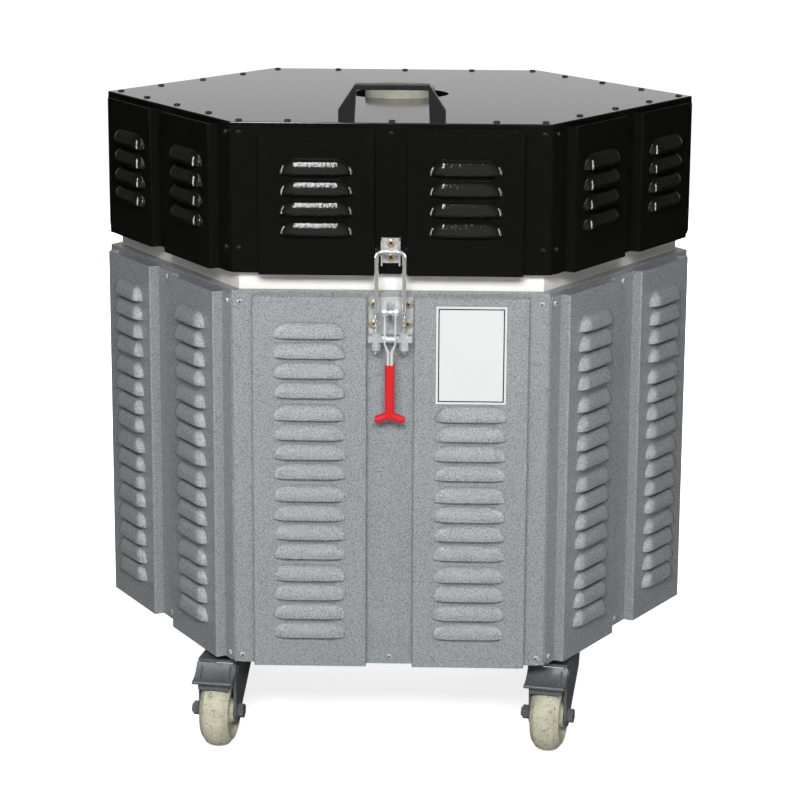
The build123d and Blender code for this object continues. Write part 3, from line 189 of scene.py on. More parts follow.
def hammered_enamel():
    enamel_grey = (0.33, 0.35, 0.36)
    material, tree, shader = new_material("hammered grey enamel", enamel_grey, roughness=0.24, metallic=0.25)
    space = object_space(tree)
    cells = tree.nodes.new("ShaderNodeTexVoronoi")
    cells.inputs["Scale"].default_value = 820.0
    cells.inputs["Randomness"].default_value = 1.0
    tree.links.new(space, cells.inputs["Vector"])
    dimple_tones = [(0.1, (0.36, 0.378, 0.387)), (0.75, (0.18, 0.194, 0.203))]
    ground = ramp(tree, cells.outputs["Distance"], dimple_tones)
    cloud = noise(tree, space, scale=9.0, detail=3.0)
    shade = ramp(tree, cloud, [(0.3, (0.94, 0.94, 0.94)), (0.7, (1.0, 1.0, 1.0))])
    mix = tree.nodes.new("ShaderNodeMix")
    mix.data_type = "RGBA"
    mix.blend_type = "MULTIPLY"
    mix.inputs["Factor"].default_value = 1.0
    tree.links.new(ground, mix.inputs["A"])
    tree.links.new(shade, mix.inputs["B"])
    tree.links.new(mix.outputs["Result"], shader.inputs["Base Color"])
    bump(tree, shader, cells.outputs["Distance"], distance=0.0004, strength=1.0)
    return material


grey_enamel = hammered_enamel()
for sheet_node in ("body_panel_front_left", "body_panel_front_right", "body_panels_sides"):
    finish_node(sheet_node, grey_enamel)

# The inner casing of the body: folded steel behind the pressed sheets, turned in at the
# top as a ledge round the insulation, and enamelled with them.
finish_node("inner_casing", grey_enamel)

# The base frame of angle and channel under the body, welded and painted dark grey,
# and the plain steel pan it carries.
def plain_paint(name, color, roughness, metallic=0.0):
    material, tree, shader = new_material(name, color, roughness, metallic)
    space = object_space(tree)
    bump(tree, shader, noise(tree, space, scale=600.0, detail=2.0), distance=0.00008, strength=0.5)
    return material


dark_paint = plain_paint("dark frame paint", (0.05, 0.052, 0.055), roughness=0.45)
finish_node("base_frame", dark_paint)
finish_node("floor_pan", plain_paint("mill steel", (0.45, 0.45, 0.44), roughness=0.4, metallic=0.9))

# The bricks: porous insulating firebrick, sawn to size, cream white with fine pores
# and faint firing stains, in the walls, the floor and the lid.
def firebrick():
    material, tree, shader = new_material("insulating firebrick", (0.86, 0.85, 0.81), roughness=0.9)
    space = object_space(tree)
    stain = noise(tree, space, scale=14.0, detail=5.0, roughness=0.6)
    stain_tones = [(0.3, (0.64, 0.64, 0.62)), (0.6, (0.62, 0.61, 0.57)), (0.85, (0.56, 0.53, 0.47))]
    tint = ramp(tree, stain, stain_tones)
    tree.links.new(tint, shader.inputs["Base Color"])
    pores = noise(tree, space, scale=700.0, detail=4.0, roughness=0.7)
    bump(tree, shader, pores, distance=0.0006, strength=0.6)
    return material


brick = firebrick()
for brick_node in ("wall_bricks", "floor_bricks", "lid_bricks"):
    finish_node(brick_node, brick)

# The board under the floor bricks and the fibre blankets behind the wall and lid bricks,
# soft white insulation that shows as a band under the lid.
def fibre(name, color):
    material, tree, shader = new_material(name, color, roughness=0.95)
    space = object_space(tree)
    fluff = noise(tree, space, scale=260.0, detail=6.0, roughness=0.7)
    bump(tree, shader, fluff, distance=0.0008, strength=0.5)
    return material


blanket = fibre("fibre blanket", (0.86, 0.86, 0.84))
for fibre_node in ("wall_blanket", "lid_blanket"):
    finish_node(fibre_node, blanket)
finish_node("floor_board", fibre("backing board", (0.80, 0.76, 0.68)))

# The black sheets of the lid: the same pressed steel as the body, in gloss black enamel
# with a faint orange peel, screwed to the lid's casing.
def black_enamel():
    material, tree, shader = new_material("gloss black enamel", (0.004, 0.004, 0.0035), roughness=0.09)
    shader.inputs["Specular IOR Level"].default_value = 0.30
    space = object_space(tree)
    peel = noise(tree, space, scale=420.0, detail=2.0, roughness=0.5)
    bump(tree, shader, peel, distance=0.0003, strength=0.45)
    return material


gloss_black = black_enamel()
for lid_sheet in ("lid_panels_front", "lid_panels_sides", "lid_casing"):
    finish_node(lid_sheet, gloss_black)

# The lid's top plate: one flat sheet of steel with a round hole, gloss black and smoother
# than the sides, so that it mirrors the room.
def plate_enamel():
    material, tree, shader = new_material("gloss black plate", (0.004, 0.004, 0.0035), roughness=0.10)
    space = object_space(tree)
    waves = noise(tree, space, scale=5.0, detail=1.0, roughness=0.3)
    bump(tree, shader, waves, distance=0.0004, strength=0.12)
    return material


finish_node("lid_top_plate", plate_enamel())

# The vent plug that sits loose in the lid's hole: a turned piece of the same porous ceramic as the bricks, a little
# yellower, with faint stains. Its colour is set far darker than the bricks', painted shade for the shade on its side.
def plug_ceramic_with_painted_shade():
    material, tree, shader = new_material("plug ceramic with painted shade", (0.34, 0.33, 0.27), roughness=0.85)
    space = object_space(tree)
    stain = noise(tree, space, scale=40.0, detail=4.0, roughness=0.6)
    # These tones sit far below the bricks': painted shade on the plug as well as its faint stains.
    tint = ramp(tree, stain, [(0.3, (0.31, 0.305, 0.255)), (0.7, (0.21, 0.205, 0.165))])
    tree.links.new(tint, shader.inputs["Base Color"])
    bump(tree, shader, noise(tree, space, scale=800.0, detail=3.0), distance=0.0005, strength=0.5)
    return material


finish_node("vent_plug", plug_ceramic_with_painted_shade())

# The bridge handle on the front edge of the lid: moulded black nylon with a fine grain,
# held from below by two bolts. The cable gland at the back is of the same nylon.
def black_nylon(name):
    material, tree, shader = new_material(name, (0.008, 0.008, 0.008), roughness=0.30)
    space = object_space(tree)
    bump(tree, shader, noise(tree, space, scale=1500.0, detail=2.0), distance=0.00008, strength=0.5)
    return material


handle_nylon = black_nylon("handle nylon")
finish_node("lid_handle", handle_nylon)
finish_node("cable_gland", handle_nylon)

# The zinc-plated steel of the latch, hinges and bolts: pressed or turned steel with a bright, slightly cloudy plating.
# The lever and its pin take a brighter copy of the plating, a painted sheen for the bright light they catch.
def zinc_plate(name, shade, bright):
    material, tree, shader = new_material(name, bright, roughness=0.20, metallic=0.62)
    space = object_space(tree)
    clouds = noise(tree, space, scale=60.0, detail=2.0, roughness=0.5)
    tint = ramp(tree, clouds, [(0.35, shade), (0.65, bright)])
    tree.links.new(tint, shader.inputs["Base Color"])
    bump(tree, shader, noise(tree, space, scale=900.0, detail=2.0), distance=0.00005, strength=0.3)
    return material


zinc = zinc_plate("zinc plate", (0.58, 0.61, 0.61), (0.76, 0.80, 0.80))
# A brighter copy of the zinc plate: painted sheen on the lever and its pin.
zinc_with_painted_sheen = zinc_plate("zinc plate with painted sheen", (0.80, 0.82, 0.82), (0.94, 0.96, 0.96))
zinc_nodes = ["latch_base", "latch_yoke", "u_bolt_nuts", "catch_plate"]
zinc_nodes += ["hinge_body_leaves", "hinge_lid_leaves", "hinge_pins", "handle_bolts", "caster_nuts"]
zinc_nodes += ["caster_top_plates", "terminal_screws"]
for zinc_node in zinc_nodes:
    finish_node(zinc_node, zinc)
for sheen_node in ("latch_lever", "latch_pivot_pin"):
    finish_node(sheen_node, zinc_with_painted_sheen)

# The U-bolt of the latch: zinc-plated rod with a rolled thread on both ends, drawn as
# fine rings below the height where the thread starts.
thread_pitch = 0.0009
thread_top = 0.497


def threaded_zinc():
    material, tree, shader = new_material("threaded zinc", (0.80, 0.81, 0.80), roughness=0.20, metallic=0.8)
    space = object_space(tree)
    split = tree.nodes.new("ShaderNodeSeparateXYZ")
    tree.links.new(space, split.inputs["Vector"])
    turns = tree.nodes.new("ShaderNodeMath")
    turns.operation = "MULTIPLY"
    turns.inputs[1].default_value = 2 * math.pi / thread_pitch
    tree.links.new(split.outputs["Z"], turns.inputs[0])
    wave = tree.nodes.new("ShaderNodeMath")
    wave.operation = "SINE"
    tree.links.new(turns.outputs[0], wave.inputs[0])
    below = tree.nodes.new("ShaderNodeMath")
    below.operation = "LESS_THAN"
    below.inputs[1].default_value = thread_top
    tree.links.new(split.outputs["Z"], below.inputs[0])
    thread = tree.nodes.new("ShaderNodeMath")
    thread.operation = "MULTIPLY"
    tree.links.new(wave.outputs[0], thread.inputs[0])
    tree.links.new(below.outputs[0], thread.inputs[1])
    bump(tree, shader, thread.outputs[0], distance=0.0003, strength=1.0)
    return material


finish_node("u_bolt", threaded_zinc())

# The grip of the latch lever: soft red vinyl dipped over the handle and its two wings,
# with a smooth gloss.
def dipped_vinyl():
    vinyl_red = (0.42, 0.008, 0.012)
    name = "red dipped vinyl"
    material, tree, shader = new_material(name, vinyl_red, roughness=0.28, coat=0.4, coat_roughness=0.1)
    space = object_space(tree)
    bump(tree, shader, noise(tree, space, scale=120.0, detail=1.0), distance=0.0002, strength=0.3)
    return material


finish_node("latch_grip", dipped_vinyl())

# The small blank plate on the right front sheet: white enamelled aluminium with a thin
# printed black border, glued on.
label_low, label_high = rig.box("blank_plate")
plate_white, _, _ = new_material("plate white", (0.45, 0.46, 0.46), roughness=0.4)
finish_node("blank_plate", plate_white)
border_width = 0.0012
border_inset = 0.0022
border_rise = 0.00012


def border_mesh(low, high):
    outer = (low.x + border_inset, low.z + border_inset, high.x - border_inset, high.z - border_inset)
    y_front = low.y - border_rise
    corners = []
    for step in (0.0, border_width):
        corners += [
            (outer[0] + step, y_front, outer[1] + step),
            (outer[2] - step, y_front, outer[1] + step),
            (outer[2] - step, y_front, outer[3] - step),
            (outer[0] + step, y_front, outer[3] - step),
        ]
    faces = [(k, (k + 1) % 4, (k + 1) % 4 + 4, k + 4) for k in range(4)]
    mesh = bpy.data.meshes.new("plate border")
    mesh.from_pydata(corners, [], faces)
    return mesh


ink, _, _ = new_material("border ink", (0.01, 0.01, 0.01), roughness=0.5)
border = bpy.data.objects.new("plate_border", border_mesh(label_low, label_high))
bpy.context.scene.collection.objects.link(border)
border.data.materials.append(ink)
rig.ride(border, "kiln_body")
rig.slot(border, "black_screws")

# The connection box on the back: folded steel plate and cover in the body's grey enamel,
# with white glazed terminal blocks, element tubes and the thermocouple sheath inside.
finish_node("connection_plate", grey_enamel)
finish_node("connection_cover", grey_enamel)


def white_porcelain():
    material, tree, shader = new_material("white porcelain", (0.85, 0.84, 0.80), roughness=0.25)
    space = object_space(tree)
    bump(tree, shader, noise(tree, space, scale=200.0, detail=2.0), distance=0.0001, strength=0.3)
    return material


porcelain = white_porcelain()
for porcelain_node in ("terminal_blocks", "element_tubes", "thermocouple"):
    finish_node(porcelain_node, porcelain)

# The screws that hold the sheets: small round-headed machine screws with a cross recess,
# plated on the body, blackened on the lid, and set the same way on every side.
side_length = 0.330
apothem = side_length * math.sqrt(3) / 2
lid_plate_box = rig.box("lid_top_plate")
kiln_middle_y = (lid_plate_box[0].y + lid_plate_box[1].y) / 2
sheet = 0.0012
panel_low = 0.110
panel_top = 0.510
lid_low = 0.533
lid_top = 0.6845
plate_top = 0.689
pan_face = 0.0122
corner_inset = 0.0085
low_screw_rise = 0.008
top_screw_drop = 0.0075
hinge_middles = (-0.103, 0.103)
hinge_holes = (-0.020, 0, 0.020)
hinge_low = 0.514
hinge_hole_rise = 0.0215
hinge_leaf = 0.0025
box_flange_holes = (-0.0605, 0.0605)
box_hole_heights = (0.170, 0.328, 0.466)
box_sheet = 0.003


def at_side(side, u, z, w):
    angle = math.radians(60 * side)
    x, y = u, -(apothem + w)
    place = Vector((x * math.cos(angle) - y * math.sin(angle), x * math.sin(angle) + y * math.cos(angle), z))
    facing = Vector((math.sin(angle), -math.cos(angle), 0.0))
    return place + Vector((0, kiln_middle_y, 0)), facing


def cross_head(name, radius, height, recess, recess_depth):
    profile = [(1.0, 0.0), (1.0, 0.25), (0.93, 0.6), (0.72, 0.88), (0.4, 1.0)]
    rings = [(share * radius, rise * height) for share, rise in profile]
    segments = 24
    corners = []
    for ring_radius, z in rings:
        for k in range(segments):
            angle = 2 * math.pi * k / segments
            corners.append((ring_radius * math.cos(angle), ring_radius * math.sin(angle), z))
    faces = []
    for r in range(len(rings) - 1):
        for k in range(segments):
            a, b = r * segments + k, r * segments + (k + 1) % segments
            faces.append((a, b, b + segments, a + segments))
    faces.append(tuple(range((len(rings) - 1) * segments, len(rings) * segments)))
    faces.append(tuple(reversed(range(segments))))
    mesh = bpy.data.meshes.new(name)
    mesh.from_pydata(corners, [], faces)
    head = bpy.data.objects.new(name, mesh)
    bpy.context.scene.collection.objects.link(head)
    slot_share = 0.24
    foot_share = 0.55
    arm, half = recess, slot_share * recess
    quarter = [(arm, half), (half, half), (half, arm)]
    outline = quarter + [(-half, arm), (-half, half), (-arm, half)]
    outline += [(-x, -y) for x, y in quarter] + [(half, -arm), (half, -half), (arm, -half)]
    lower = [(foot_share * x, foot_share * y, height - recess_depth) for x, y in outline]
    upper = [(x, y, 1.5 * height) for x, y in outline]
    count = len(outline)
    walls = [(k, k + count, (k + 1) % count + count, (k + 1) % count) for k in range(count)]
    cut_mesh = bpy.data.meshes.new(name + " recess")
    ends = [tuple(range(count)), tuple(reversed(range(count, 2 * count)))]
    cut_mesh.from_pydata(upper + lower, [], walls + ends)
    cutter = bpy.data.objects.new(name + " recess", cut_mesh)
    bpy.context.scene.collection.objects.link(cutter)
    cut = head.modifiers.new("recess", "BOOLEAN")
    cut.operation = "DIFFERENCE"
    cut.solver = "EXACT"
    cut.object = cutter
    graph = bpy.context.evaluated_depsgraph_get()
    finished = bpy.data.meshes.new_from_object(head.evaluated_get(graph))
    head.modifiers.clear()
    head.data = finished
    bpy.data.objects.remove(cutter)
    # Faces inside the cross recess are marked so that the finish paints them near black: painted shade in the recess.
    shade = finished.attributes.new("recess", "FLOAT", "FACE")
    underside = 0.00001
    for polygon in finished.polygons:
        middle = polygon.center
        within = math.hypot(middle.x, middle.y) < 0.95 * recess
        sunk = underside < middle.z < 0.85 * height
        shade.data[polygon.index].value = 1.0 if within and sunk else 0.0
    return head


def screw_setting_tree():
    tree = bpy.data.node_groups.new("screw setting", "GeometryNodeTree")
    tree.interface.new_socket("Geometry", in_out="INPUT", socket_type="NodeSocketGeometry")
    head_socket = tree.interface.new_socket("Head", in_out="INPUT", socket_type="NodeSocketObject")
    turn_socket = tree.interface.new_socket("Turn", in_out="INPUT", socket_type="NodeSocketFloat")
    finish_socket = tree.interface.new_socket("Finish", in_out="INPUT", socket_type="NodeSocketMaterial")
    tree.interface.new_socket("Geometry", in_out="OUTPUT", socket_type="NodeSocketGeometry")
    inputs = tree.nodes.new("NodeGroupInput")
    outputs = tree.nodes.new("NodeGroupOutput")
    facing = tree.nodes.new("GeometryNodeInputNamedAttribute")
    facing.data_type = "FLOAT_VECTOR"
    facing.inputs["Name"].default_value = "facing"
    align = tree.nodes.new("FunctionNodeAlignEulerToVector")
    align.axis = "Z"
    head = tree.nodes.new("GeometryNodeObjectInfo")
    spin = tree.nodes.new("FunctionNodeRandomValue")
    spin.data_type = "FLOAT"
    spin.inputs["Seed"].default_value = 7
    place = tree.nodes.new("GeometryNodeInstanceOnPoints")
    turn = tree.nodes.new("GeometryNodeRotateInstances")
    axis = tree.nodes.new("ShaderNodeCombineXYZ")
    realize = tree.nodes.new("GeometryNodeRealizeInstances")
    paint = tree.nodes.new("GeometryNodeSetMaterial")
    link = tree.links.new
    link(inputs.outputs["Head"], head.inputs["Object"])
    link(facing.outputs["Attribute"], align.inputs["Vector"])
    link(inputs.outputs["Geometry"], place.inputs["Points"])
    link(head.outputs["Geometry"], place.inputs["Instance"])
    link(align.outputs["Rotation"], place.inputs["Rotation"])
    link(inputs.outputs["Turn"], spin.inputs[3])
    link(spin.outputs[1], axis.inputs["Z"])
    link(place.outputs["Instances"], turn.inputs["Instances"])
    link(axis.outputs["Vector"], turn.inputs["Rotation"])
    link(turn.outputs["Instances"], realize.inputs["Geometry"])
    link(realize.outputs["Geometry"], paint.inputs["Geometry"])
    link(inputs.outputs["Finish"], paint.inputs["Material"])
    link(paint.outputs["Geometry"], outputs.inputs["Geometry"])
    return tree, (head_socket.identifier, turn_socket.identifier, finish_socket.identifier)


screw_tree, screw_sockets = screw_setting_tree()
largest_turn = 1.5
sharp_edge = math.radians(35)


def set_screws(name, places, head, finish):
    mesh = bpy.data.meshes.new(name)
    mesh.from_pydata([tuple(place) for place, _ in places], [], [])
    facing = mesh.attributes.new("facing", "FLOAT_VECTOR", "POINT")
    for k, (_, direction) in enumerate(places):
        facing.data[k].vector = direction
    screws = bpy.data.objects.new(name, mesh)
    bpy.context.scene.collection.objects.link(screws)
    setting = screws.modifiers.new("setting", "NODES")
    setting.node_group = screw_tree
    for identifier, value in zip(screw_sockets, (head, largest_turn, finish)):
        setting[identifier] = value
    graph = bpy.context.evaluated_depsgraph_get()
    finished = bpy.data.meshes.new_from_object(screws.evaluated_get(graph))
    screws.modifiers.clear()
    screws.data = finished
    for polygon in finished.polygons:
        polygon.use_smooth = True
    finished.set_sharp_from_angle(angle=sharp_edge)
    return screws


# Steel whose faces marked as recess are painted near black, a painted shade in the cross recess; parts without the
# mark keep their colour.
def steel_with_painted_recess_shade(name, color, roughness, metallic=0.8):
    material, tree, shader = new_material(name, color, roughness, metallic=metallic)
    space = object_space(tree)
    # The recess mark blends the colour to near black: painted shade.
    recess_shade = tree.nodes.new("ShaderNodeAttribute")
    recess_shade.attribute_name = "recess"
    tint = ramp(tree, recess_shade.outputs["Fac"], [(0.0, color), (1.0, (0.01, 0.01, 0.01))])
    tree.links.new(tint, shader.inputs["Base Color"])
    bump(tree, shader, noise(tree, space, scale=700.0, detail=2.0), distance=0.00008, strength=0.4)
    return material


panel_head = cross_head("panel screw head", radius=0.0030, height=0.0019, recess=0.0021, recess_depth=0.0016)
plated = steel_with_painted_recess_shade("plated screw", (0.42, 0.44, 0.45), roughness=0.36, metallic=0.4)
corner_u = side_length / 2 - corner_inset
low_screw_z = panel_low + low_screw_rise
top_screw_z = panel_top - top_screw_drop
body_places = []
for side in range(6):
    for z in (low_screw_z, top_screw_z):
        for u in (-corner_u, corner_u):
            body_places.append(at_side(side, u, z, sheet))
    body_places.append(at_side(side, 0, low_screw_z, sheet))
    if side:
        body_places.append(at_side(side, 0, top_screw_z, sheet))
back = 3
hinge_middle_z = (hinge_low + lid_low) / 2
for middle in hinge_middles:
    for u in hinge_holes:
        leaf_z = hinge_middle_z - hinge_hole_rise
        body_places.append(at_side(back, middle + u, leaf_z, pan_face + hinge_leaf))
for u in box_flange_holes:
    for z in box_hole_heights:
        body_places.append(at_side(back, u, z, pan_face + box_sheet))
panel_screws = set_screws("body_screws", body_places, panel_head, plated)
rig.ride(panel_screws, "kiln_body")
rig.replaces(panel_screws, "panel_screws")
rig.slot(panel_screws, "screw_steel")

# The same screws on the lid's sheets and hinge leaves: steel, blackened to go with the
# enamel, and driven in from outside.
blackened = steel_with_painted_recess_shade("blackened screw", (0.03, 0.03, 0.03), roughness=0.35)
lid_screw_rise = 0.0255
lid_screw_drop = 0.0065
lid_low_screw_z = lid_low + lid_screw_rise
lid_top_screw_z = lid_top - lid_screw_drop
lid_places = []
for side in range(6):
    for z in (lid_low_screw_z, lid_top_screw_z):
        for u in (-corner_u, corner_u):
            lid_places.append(at_side(side, u, z, sheet))
    lid_places.append(at_side(side, 0, lid_top_screw_z, sheet))
for middle in hinge_middles:
    for u in hinge_holes:
        leaf_z = hinge_middle_z + hinge_hole_rise
        lid_places.append(at_side(back, middle + u, leaf_z, pan_face + hinge_leaf))
lid_screws = set_screws("lid_side_screws", lid_places, panel_head, blackened)
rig.ride(lid_screws, "lid")
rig.replaces(lid_screws, "lid_panel_screws")
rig.slot(lid_screws, "black_screws")

# The button screws of the lid's top plate: one in each corner and three along each edge,
# slightly larger, black and domed.
plate_head = cross_head("plate screw head", radius=0.0037, height=0.0017, recess=0.0022, recess_depth=0.0012)
rim_inset = 0.013
side_reach = 0.0825
front_reach = 0.10725
upright = Vector((0, 0, 1))
top_places = []
screw_corner = (apothem - rim_inset) / math.cos(math.pi / 6)
for side in range(6):
    angle = math.radians(60 * side - 60)
    corner_y = screw_corner * math.sin(angle) + kiln_middle_y
    corner = Vector((screw_corner * math.cos(angle), corner_y, plate_top))
    top_places.append((corner, upright))
    reach = side_reach if side else front_reach
    for u in (-reach, 0, reach):
        place, _ = at_side(side, u, plate_top, -rim_inset)
        top_places.append((place, upright))
top_screws = set_screws("lid_top_screws", top_places, plate_head, blackened)
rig.ride(top_screws, "lid")
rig.replaces(top_screws, "lid_plate_screws")
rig.slot(top_screws, "black_screws")

# The brass-coloured screws of the latch: yellow-passivated round heads, four on the base
# and two on the catch.
passivated = steel_with_painted_recess_shade("yellow passivated screw", (0.66, 0.54, 0.40), roughness=0.28, metallic=0.7)
latch_head = cross_head("latch screw head", radius=0.0052, height=0.0026, recess=0.0032, recess_depth=0.0022)
latch_plate = 0.002
latch_middle_u = 0.0004
latch_middle_z = 0.4915
latch_screw_u = 0.0175
latch_screw_rise = 0.0105
latch_places = []
for u in (-latch_screw_u, latch_screw_u):
    for z in (-latch_screw_rise, latch_screw_rise):
        latch_places.append(at_side(0, latch_middle_u + u, latch_middle_z + z, sheet + latch_plate))
latch_screws = set_screws("latch_screws", latch_places, latch_head, passivated)
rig.ride(latch_screws, "kiln_body")
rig.replaces(latch_screws, "latch_base_screws")
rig.slot(latch_screws, "brass_screws")
catch_head = cross_head("catch screw head", radius=0.0050, height=0.0026, recess=0.0031, recess_depth=0.0022)
catch_screw_heights = (0.551, 0.566)
catch_places = [at_side(0, 0, z, sheet + latch_plate) for z in catch_screw_heights]
catch_screws = set_screws("catch_plate_screws", catch_places, catch_head, passivated)
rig.ride(catch_screws, "lid")
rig.replaces(catch_screws, "catch_screws")
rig.slot(catch_screws, "brass_screws")
for spare in (panel_head, plate_head, latch_head, catch_head):
    bpy.data.objects.remove(spare)

# The heating elements: resistance wire wound into a close coil, laid in two grooves of
# each course of bricks, with straight tails that leave at the back.
coil_radius = 0.0052
wire_radius = 0.0009
coil_pitch = 0.0056
coil_steps = 9
coil_apothem = 0.18229
coil_start_u = -0.012
coil_end_u = 0.010


def coil_path(z):
    corner = coil_apothem / math.cos(math.pi / 6)
    points = [Vector((coil_start_u, coil_apothem, z))]
    for k in range(6):
        angle = math.radians(120 + 60 * k)
        turned = Vector((corner * math.cos(angle), corner * math.sin(angle), z))
        points.append(turned)
    points.append(Vector((coil_end_u, coil_apothem, z)))
    return [point + Vector((0, kiln_middle_y, 0)) for point in points]


def wound(points):
    corners = []
    travelled = 0.0
    for start, end in zip(points[:-1], points[1:]):
        length = (end - start).length
        along = (end - start).normalized()
        outward = along.cross(Vector((0, 0, 1)))
        steps = max(2, int(length / coil_pitch * coil_steps))
        for k in range(steps):
            turn = 2 * math.pi * (travelled + length * k / steps) / coil_pitch
            middle = start + along * (length * k / steps)
            sideways = outward * coil_radius * math.cos(turn)
            upwards = Vector((0, 0, coil_radius * math.sin(turn)))
            corners.append(middle + sideways + upwards)
        travelled += length
    return corners


def wire_tree():
    tree = bpy.data.node_groups.new("wound wire", "GeometryNodeTree")
    tree.interface.new_socket("Geometry", in_out="INPUT", socket_type="NodeSocketGeometry")
    radius_socket = tree.interface.new_socket("Wire radius", in_out="INPUT", socket_type="NodeSocketFloat")
    finish_socket = tree.interface.new_socket("Finish", in_out="INPUT", socket_type="NodeSocketMaterial")
    tree.interface.new_socket("Geometry", in_out="OUTPUT", socket_type="NodeSocketGeometry")
    inputs = tree.nodes.new("NodeGroupInput")
    outputs = tree.nodes.new("NodeGroupOutput")
    curve = tree.nodes.new("GeometryNodeMeshToCurve")
    circle = tree.nodes.new("GeometryNodeCurvePrimitiveCircle")
    circle.inputs["Resolution"].default_value = 5
    tube = tree.nodes.new("GeometryNodeCurveToMesh")
    tube.inputs["Fill Caps"].default_value = True
    realize = tree.nodes.new("GeometryNodeRealizeInstances")
    paint = tree.nodes.new("GeometryNodeSetMaterial")
    link = tree.links.new
    link(inputs.outputs["Geometry"], curve.inputs["Mesh"])
    link(inputs.outputs["Wire radius"], circle.inputs["Radius"])
    link(curve.outputs["Curve"], tube.inputs["Curve"])
    link(circle.outputs["Curve"], tube.inputs["Profile Curve"])
    link(tube.outputs["Mesh"], realize.inputs["Geometry"])
    link(realize.outputs["Geometry"], paint.inputs["Geometry"])
    link(inputs.outputs["Finish"], paint.inputs["Material"])
    link(paint.outputs["Geometry"], outputs.inputs["Geometry"])
    return tree, radius_socket.identifier, finish_socket.identifier


def drawn_wire(name, runs, radius, finish):
    corners, edges = [], []
    for run in runs:
        first = len(corners)
        corners += [tuple(point) for point in run]
        edges += [(k, k + 1) for k in range(first, len(corners) - 1)]
    mesh = bpy.data.meshes.new(name)
    mesh.from_pydata(corners, edges, [])
    wire = bpy.data.objects.new(name, mesh)
    bpy.context.scene.collection.objects.link(wire)
    drawing = wire.modifiers.new("drawing", "NODES")
    drawing.node_group = wire_group
    drawing[wire_radius_socket] = radius
    drawing[wire_finish_socket] = finish
    graph = bpy.context.evaluated_depsgraph_get()
    finished = bpy.data.meshes.new_from_object(wire.evaluated_get(graph))
    wire.modifiers.clear()
    wire.data = finished
    for polygon in finished.polygons:
        polygon.use_smooth = True
    return wire


wire_group, wire_radius_socket, wire_finish_socket = wire_tree()
fired_wire = steel_with_painted_recess_shade("fired element wire", (0.22, 0.19, 0.16), roughness=0.6)
courses = 3
bricks_low = 0.2321
bricks_top = 0.5327
course_height = (bricks_top - bricks_low) / courses
low_groove_rise = 0.020
high_groove_rise = 0.062
tail_w = 0.0297
terminal_u = -0.037
coil_y = coil_apothem + kiln_middle_y
tail_y = apothem + tail_w + kiln_middle_y
for course in range(courses):
    course_low = bricks_low + course * course_height
    low, high = course_low + low_groove_rise, course_low + high_groove_rise
    lower = wound(coil_path(low))
    upper = wound(coil_path(high))
    link_points = [Vector((coil_start_u, coil_y, low)), Vector((coil_start_u, coil_y, high))]
    tails = []
    for z in (low, high):
        leave = Vector((coil_end_u, coil_y, z))
        bend = Vector((coil_end_u, tail_y, z))
        arrive = Vector((terminal_u, tail_y, z))
        tails.append([leave, bend, arrive])
    runs = [lower, upper, link_points] + tails
    element = drawn_wire(f"element_coils_{course + 1}", runs, wire_radius, fired_wire)
    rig.ride(element, "kiln_body")
    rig.slot(element, "element_wire")
    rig.replaces(element, "heating_elements")

# The caster forks, axles and brake pedals: steel pressed or turned to shape, all in one
# dark metallic grey paint with a soft sparkle.
def metallic_paint():
    material, tree, shader = new_material("caster paint", (0.13, 0.14, 0.15), roughness=0.42, metallic=0.5)
    space = object_space(tree)
    flakes = noise(tree, space, scale=900.0, detail=2.0)
    tint = ramp(tree, flakes, [(0.35, (0.11, 0.117, 0.124)), (0.7, (0.19, 0.20, 0.21))])
    tree.links.new(tint, shader.inputs["Base Color"])
    bump(tree, shader, noise(tree, space, scale=500.0, detail=2.0), distance=0.0001, strength=0.4)
    return material


caster_paint = metallic_paint()
for corner in ("front_left", "front_right", "rear_left", "rear_right"):
    finish_node(f"caster_fork_{corner}", caster_paint)
    finish_node(f"caster_axle_{corner}", caster_paint)
for corner in ("front_left", "front_right"):
    finish_node(f"brake_pedal_{corner}", caster_paint)

# The caster wheels: turned cream nylon, with dark specks of floor dirt pressed into the
# tread.
def rolled_nylon():
    material, tree, shader = new_material("wheel nylon", (0.44, 0.43, 0.34), roughness=0.45)
    space = object_space(tree)
    specks = noise(tree, space, scale=340.0, detail=5.0, roughness=0.75)
    dirt_tones = [(0.37, (0.13, 0.11, 0.08)), (0.43, (0.38, 0.37, 0.28)), (1.0, (0.47, 0.46, 0.355))]
    dirt = ramp(tree, specks, dirt_tones)
    patches = noise(tree, space, scale=60.0, detail=3.0)
    tone = ramp(tree, patches, [(0.35, (0.86, 0.85, 0.82)), (0.65, (1.0, 1.0, 1.0))])
    mix = tree.nodes.new("ShaderNodeMix")
    mix.data_type = "RGBA"
    mix.blend_type = "MULTIPLY"
    mix.inputs["Factor"].default_value = 1.0
    tree.links.new(dirt, mix.inputs["A"])
    tree.links.new(tone, mix.inputs["B"])
    tree.links.new(mix.outputs["Result"], shader.inputs["Base Color"])
    bump(tree, shader, specks, distance=0.0002, strength=0.3)
    return material


wheel_nylon = rolled_nylon()
for corner in ("front_left", "front_right", "rear_left", "rear_right"):
    finish_node(f"caster_wheel_{corner}", wheel_nylon)

